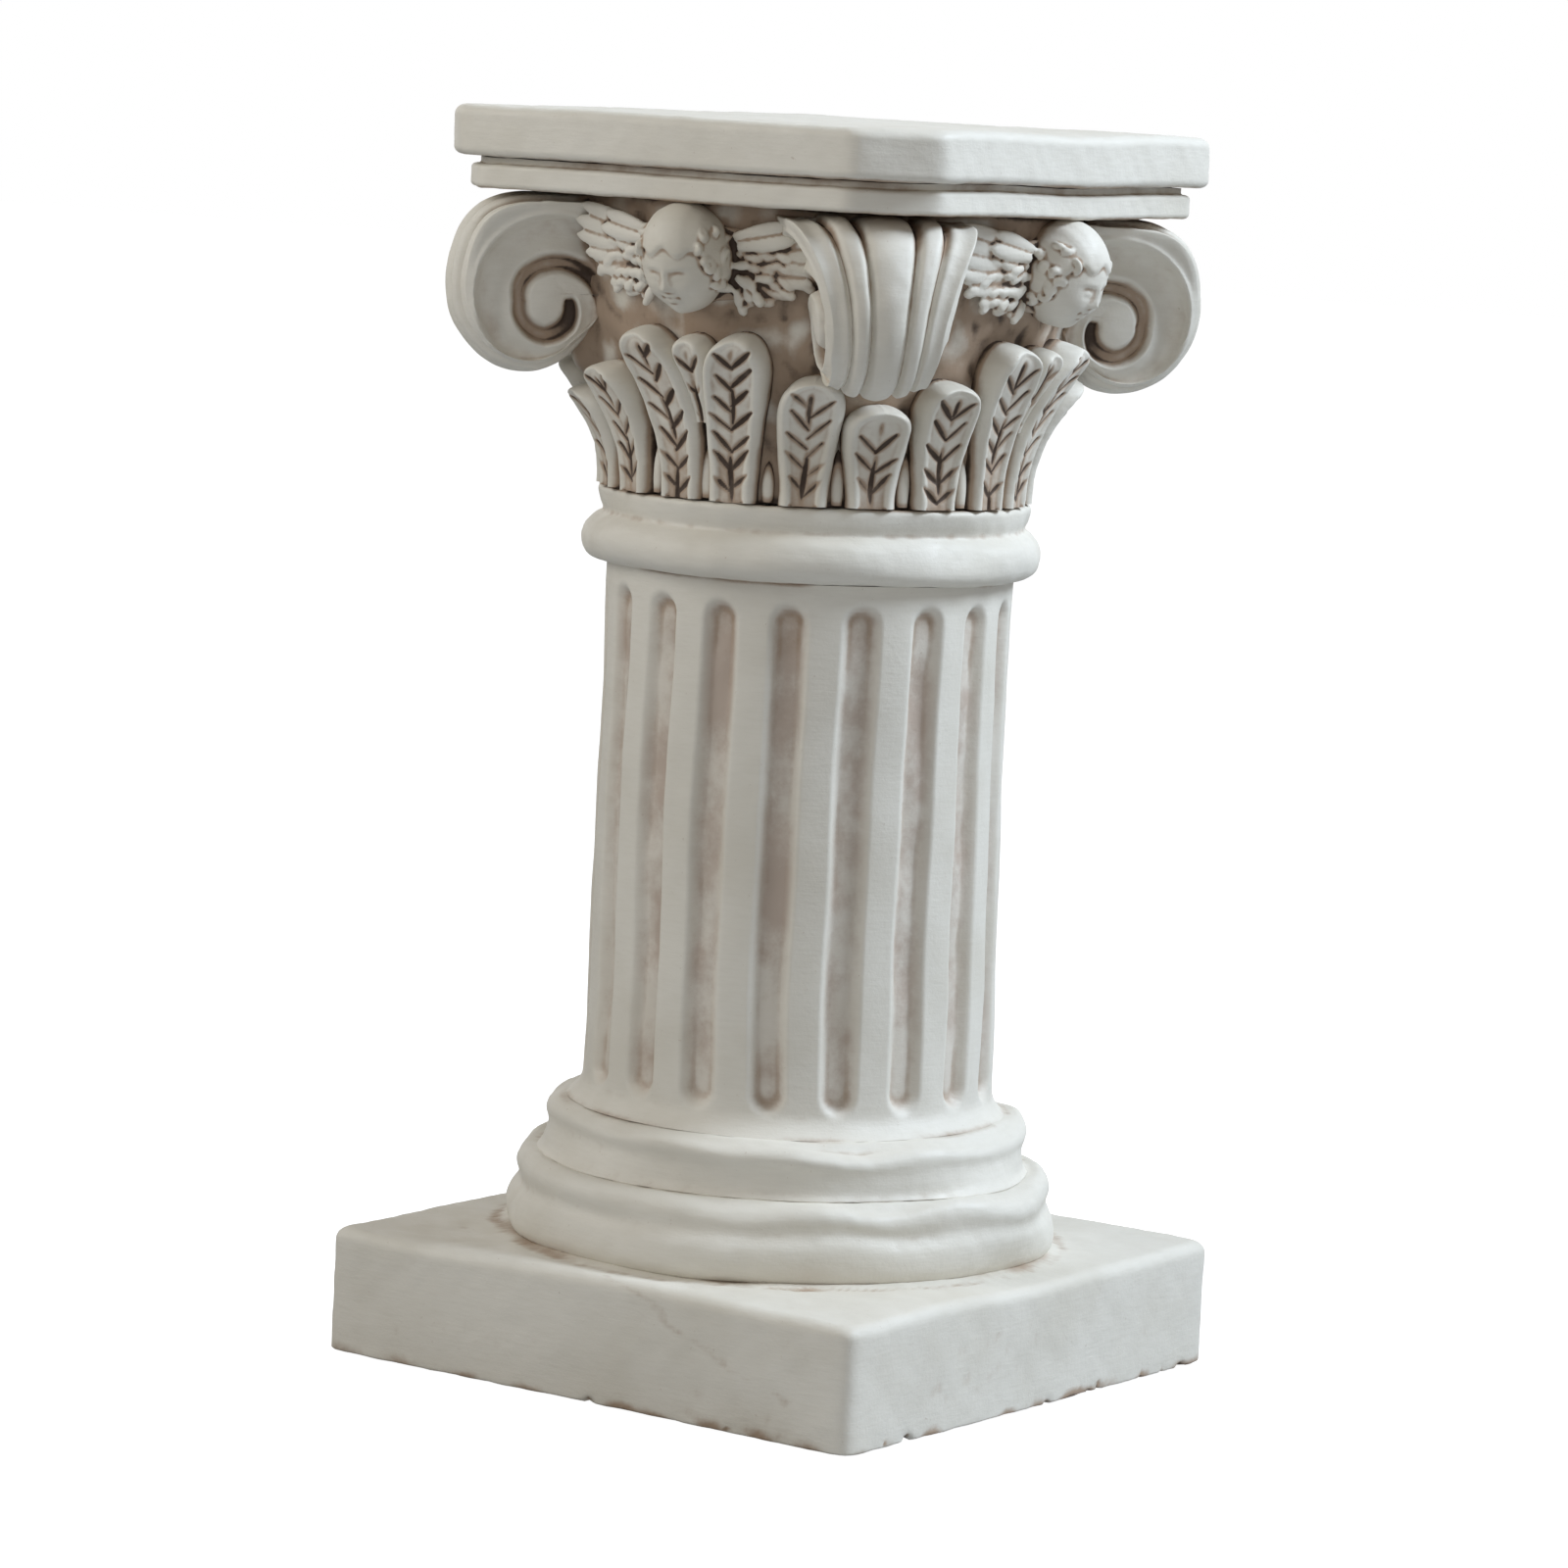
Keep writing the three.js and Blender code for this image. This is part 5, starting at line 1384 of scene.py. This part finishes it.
class STAND_OT_stage(bpy.types.Operator):
    """Set up the pale floor, the lamps and the camera"""

    bl_idname = "stand.stage"
    bl_label = "Stage"

    FLOOR_REACH = 6
    LAMPS = {  # place, size across, power in watts, and tint
        "window": ((1.0, 0.6, 1.2), 0.7, 26.2, (0.77, 0.875, 1.0)),
        "room": ((-0.4, -0.52, 0.56), 0.5, 2.1, (1.0, 0.985, 0.945)),
        "wall": ((0.75, -1.15, 0.3), 0.8, 1.9, (1.0, 0.975, 0.935))}
    LAMP_TARGET = (0, 0, 0.15)

    # The camera that was fitted to the photo: degrees round from the front, distance from the axis, level and
    # degrees of roll. Then the point it looks at, beside the axis and over the floor, and its lens in mm.
    CAMERA_TURN, CAMERA_REACH, CAMERA_LEVEL, CAMERA_ROLL = 35.06, 1.44105, 0.30945, 2.86
    LOOK_ASIDE, LOOK_LEVEL = -0.0036, 0.1368
    LENS = 142.31

    def execute(self, context):
        self.floor()
        self.world()
        for name, settings in self.LAMPS.items():
            self.lamp(name, *settings)
        self.camera(context)
        context.scene.view_settings.view_transform = "Standard"
        return {"FINISHED"}

    def floor(self):
        """A white sheet, which the camera sees almost as bright as the world behind it."""
        mesh = bpy.data.meshes.new("floor")
        far = self.FLOOR_REACH
        mesh.from_pydata([(-far, -far, 0), (far, -far, 0), (far, far, 0), (-far, far, 0)], [], [(0, 1, 2, 3)])
        put("floor", mesh)
        material, nodes = new_material("pale_floor")
        diffuse = nodes.add("ShaderNodeBsdfDiffuse", (0.45, 0.45, 0.45, 1))
        glow = nodes.add("ShaderNodeEmission", (1, 1, 1, 1), 0.98)
        camera_ray = nodes.add("ShaderNodeLightPath", output=0)
        both = nodes.add("ShaderNodeAddShader", diffuse, glow)
        mixed = nodes.add("ShaderNodeMixShader", camera_ray, diffuse, both)
        nodes.add("ShaderNodeOutputMaterial", mixed)
        mesh.materials.append(material)

    def world(self):
        """Dim, warm light from all sides, which the camera sees as plain white."""
        world = bpy.data.worlds.new("room")
        bpy.context.scene.world = world
        world.use_nodes = True
        world.node_tree.nodes.clear()
        nodes = Nodes(world.node_tree)
        path = nodes.add("ShaderNodeLightPath")
        shown = nodes.math("MAXIMUM", path.node.outputs["Is Camera Ray"], path.node.outputs["Is Glossy Ray"])
        shown = nodes.math("MAXIMUM", shown, path.node.outputs["Is Transmission Ray"])
        ambient = nodes.add("ShaderNodeBackground", (1.0, 0.97, 0.91, 1), 0.185)
        white = nodes.add("ShaderNodeBackground", (1, 1, 1, 1), 1.0)
        nodes.add("ShaderNodeOutputWorld", nodes.add("ShaderNodeMixShader", shown, ambient, white))

    def lamp(self, name, place_at, size, power, tint):
        light = bpy.data.lights.new(name, "AREA")
        light.shape, light.size, light.energy, light.color = "DISK", size, power, tint
        lamp = put(name, light)
        lamp.location = place_at
        toward = Vector(self.LAMP_TARGET) - Vector(place_at)
        lamp.rotation_euler = toward.to_track_quat("-Z", "Y").to_euler()

    def camera(self, context):
        """The photo's own view."""
        turn, roll = math.radians(self.CAMERA_TURN), math.radians(self.CAMERA_ROLL)
        out = self.CAMERA_REACH
        back = Vector((out * math.sin(turn), -out * math.cos(turn), self.CAMERA_LEVEL))
        right = Vector((math.cos(turn), math.sin(turn), 0))
        look = right * self.LOOK_ASIDE + Vector((0, 0, self.LOOK_LEVEL))
        ahead = (look - back).normalized()
        side = ahead.cross(Vector((0, 0, 1))).normalized()
        up = side.cross(ahead)
        x_way = side * math.cos(roll) + up * math.sin(roll)
        y_way = up * math.cos(roll) - side * math.sin(roll)
        lens = bpy.data.cameras.new("photo_view")
        lens.lens, lens.sensor_width = self.LENS, 36
        camera = put("photo_view", lens)
        basis = Matrix((x_way, y_way, -ahead)).transposed().to_4x4()
        camera.matrix_world = Matrix.Translation(back) @ basis
        context.scene.camera = camera


# ---- Panel, registration and run ----

OPERATORS = (
    STAND_OT_plinth, STAND_OT_rings, STAND_OT_shaft, STAND_OT_bell, STAND_OT_leaves, STAND_OT_scrolls,
    STAND_OT_winged_heads, STAND_OT_slabs, STAND_OT_fittings, STAND_OT_stage)
SETTINGS = {"stand_base": STAND_PG_base, "stand_capital": STAND_PG_capital, "stand_finish": STAND_PG_finish}


class STAND_PT_column(bpy.types.Panel):
    """Lists the stand's sizes, finishes and pieces"""

    bl_idname = "STAND_PT_column"
    bl_label = "Column stand"
    bl_space_type = "VIEW_3D"
    bl_region_type = "UI"
    bl_category = "Column stand"

    def draw(self, context):
        for name, group in SETTINGS.items():
            box = self.layout.box()
            for entry in group.__annotations__:
                box.prop(getattr(context.scene, name), entry)
        for operator in OPERATORS:
            self.layout.operator(operator.bl_idname)


def register():
    for group in (*SETTINGS.values(), *OPERATORS, STAND_PT_column):
        bpy.utils.register_class(group)
    for name, group in SETTINGS.items():
        setattr(bpy.types.Scene, name, bpy.props.PointerProperty(type=group))


def unregister():
    for name in SETTINGS:
        delattr(bpy.types.Scene, name)
    for group in (STAND_PT_column, *reversed(OPERATORS), *reversed(SETTINGS.values())):
        bpy.utils.unregister_class(group)


def main():
    register()
    for operator in OPERATORS:
        getattr(bpy.ops.stand, operator.bl_idname.split(".")[1])()


if __name__ == "__main__":
    main()
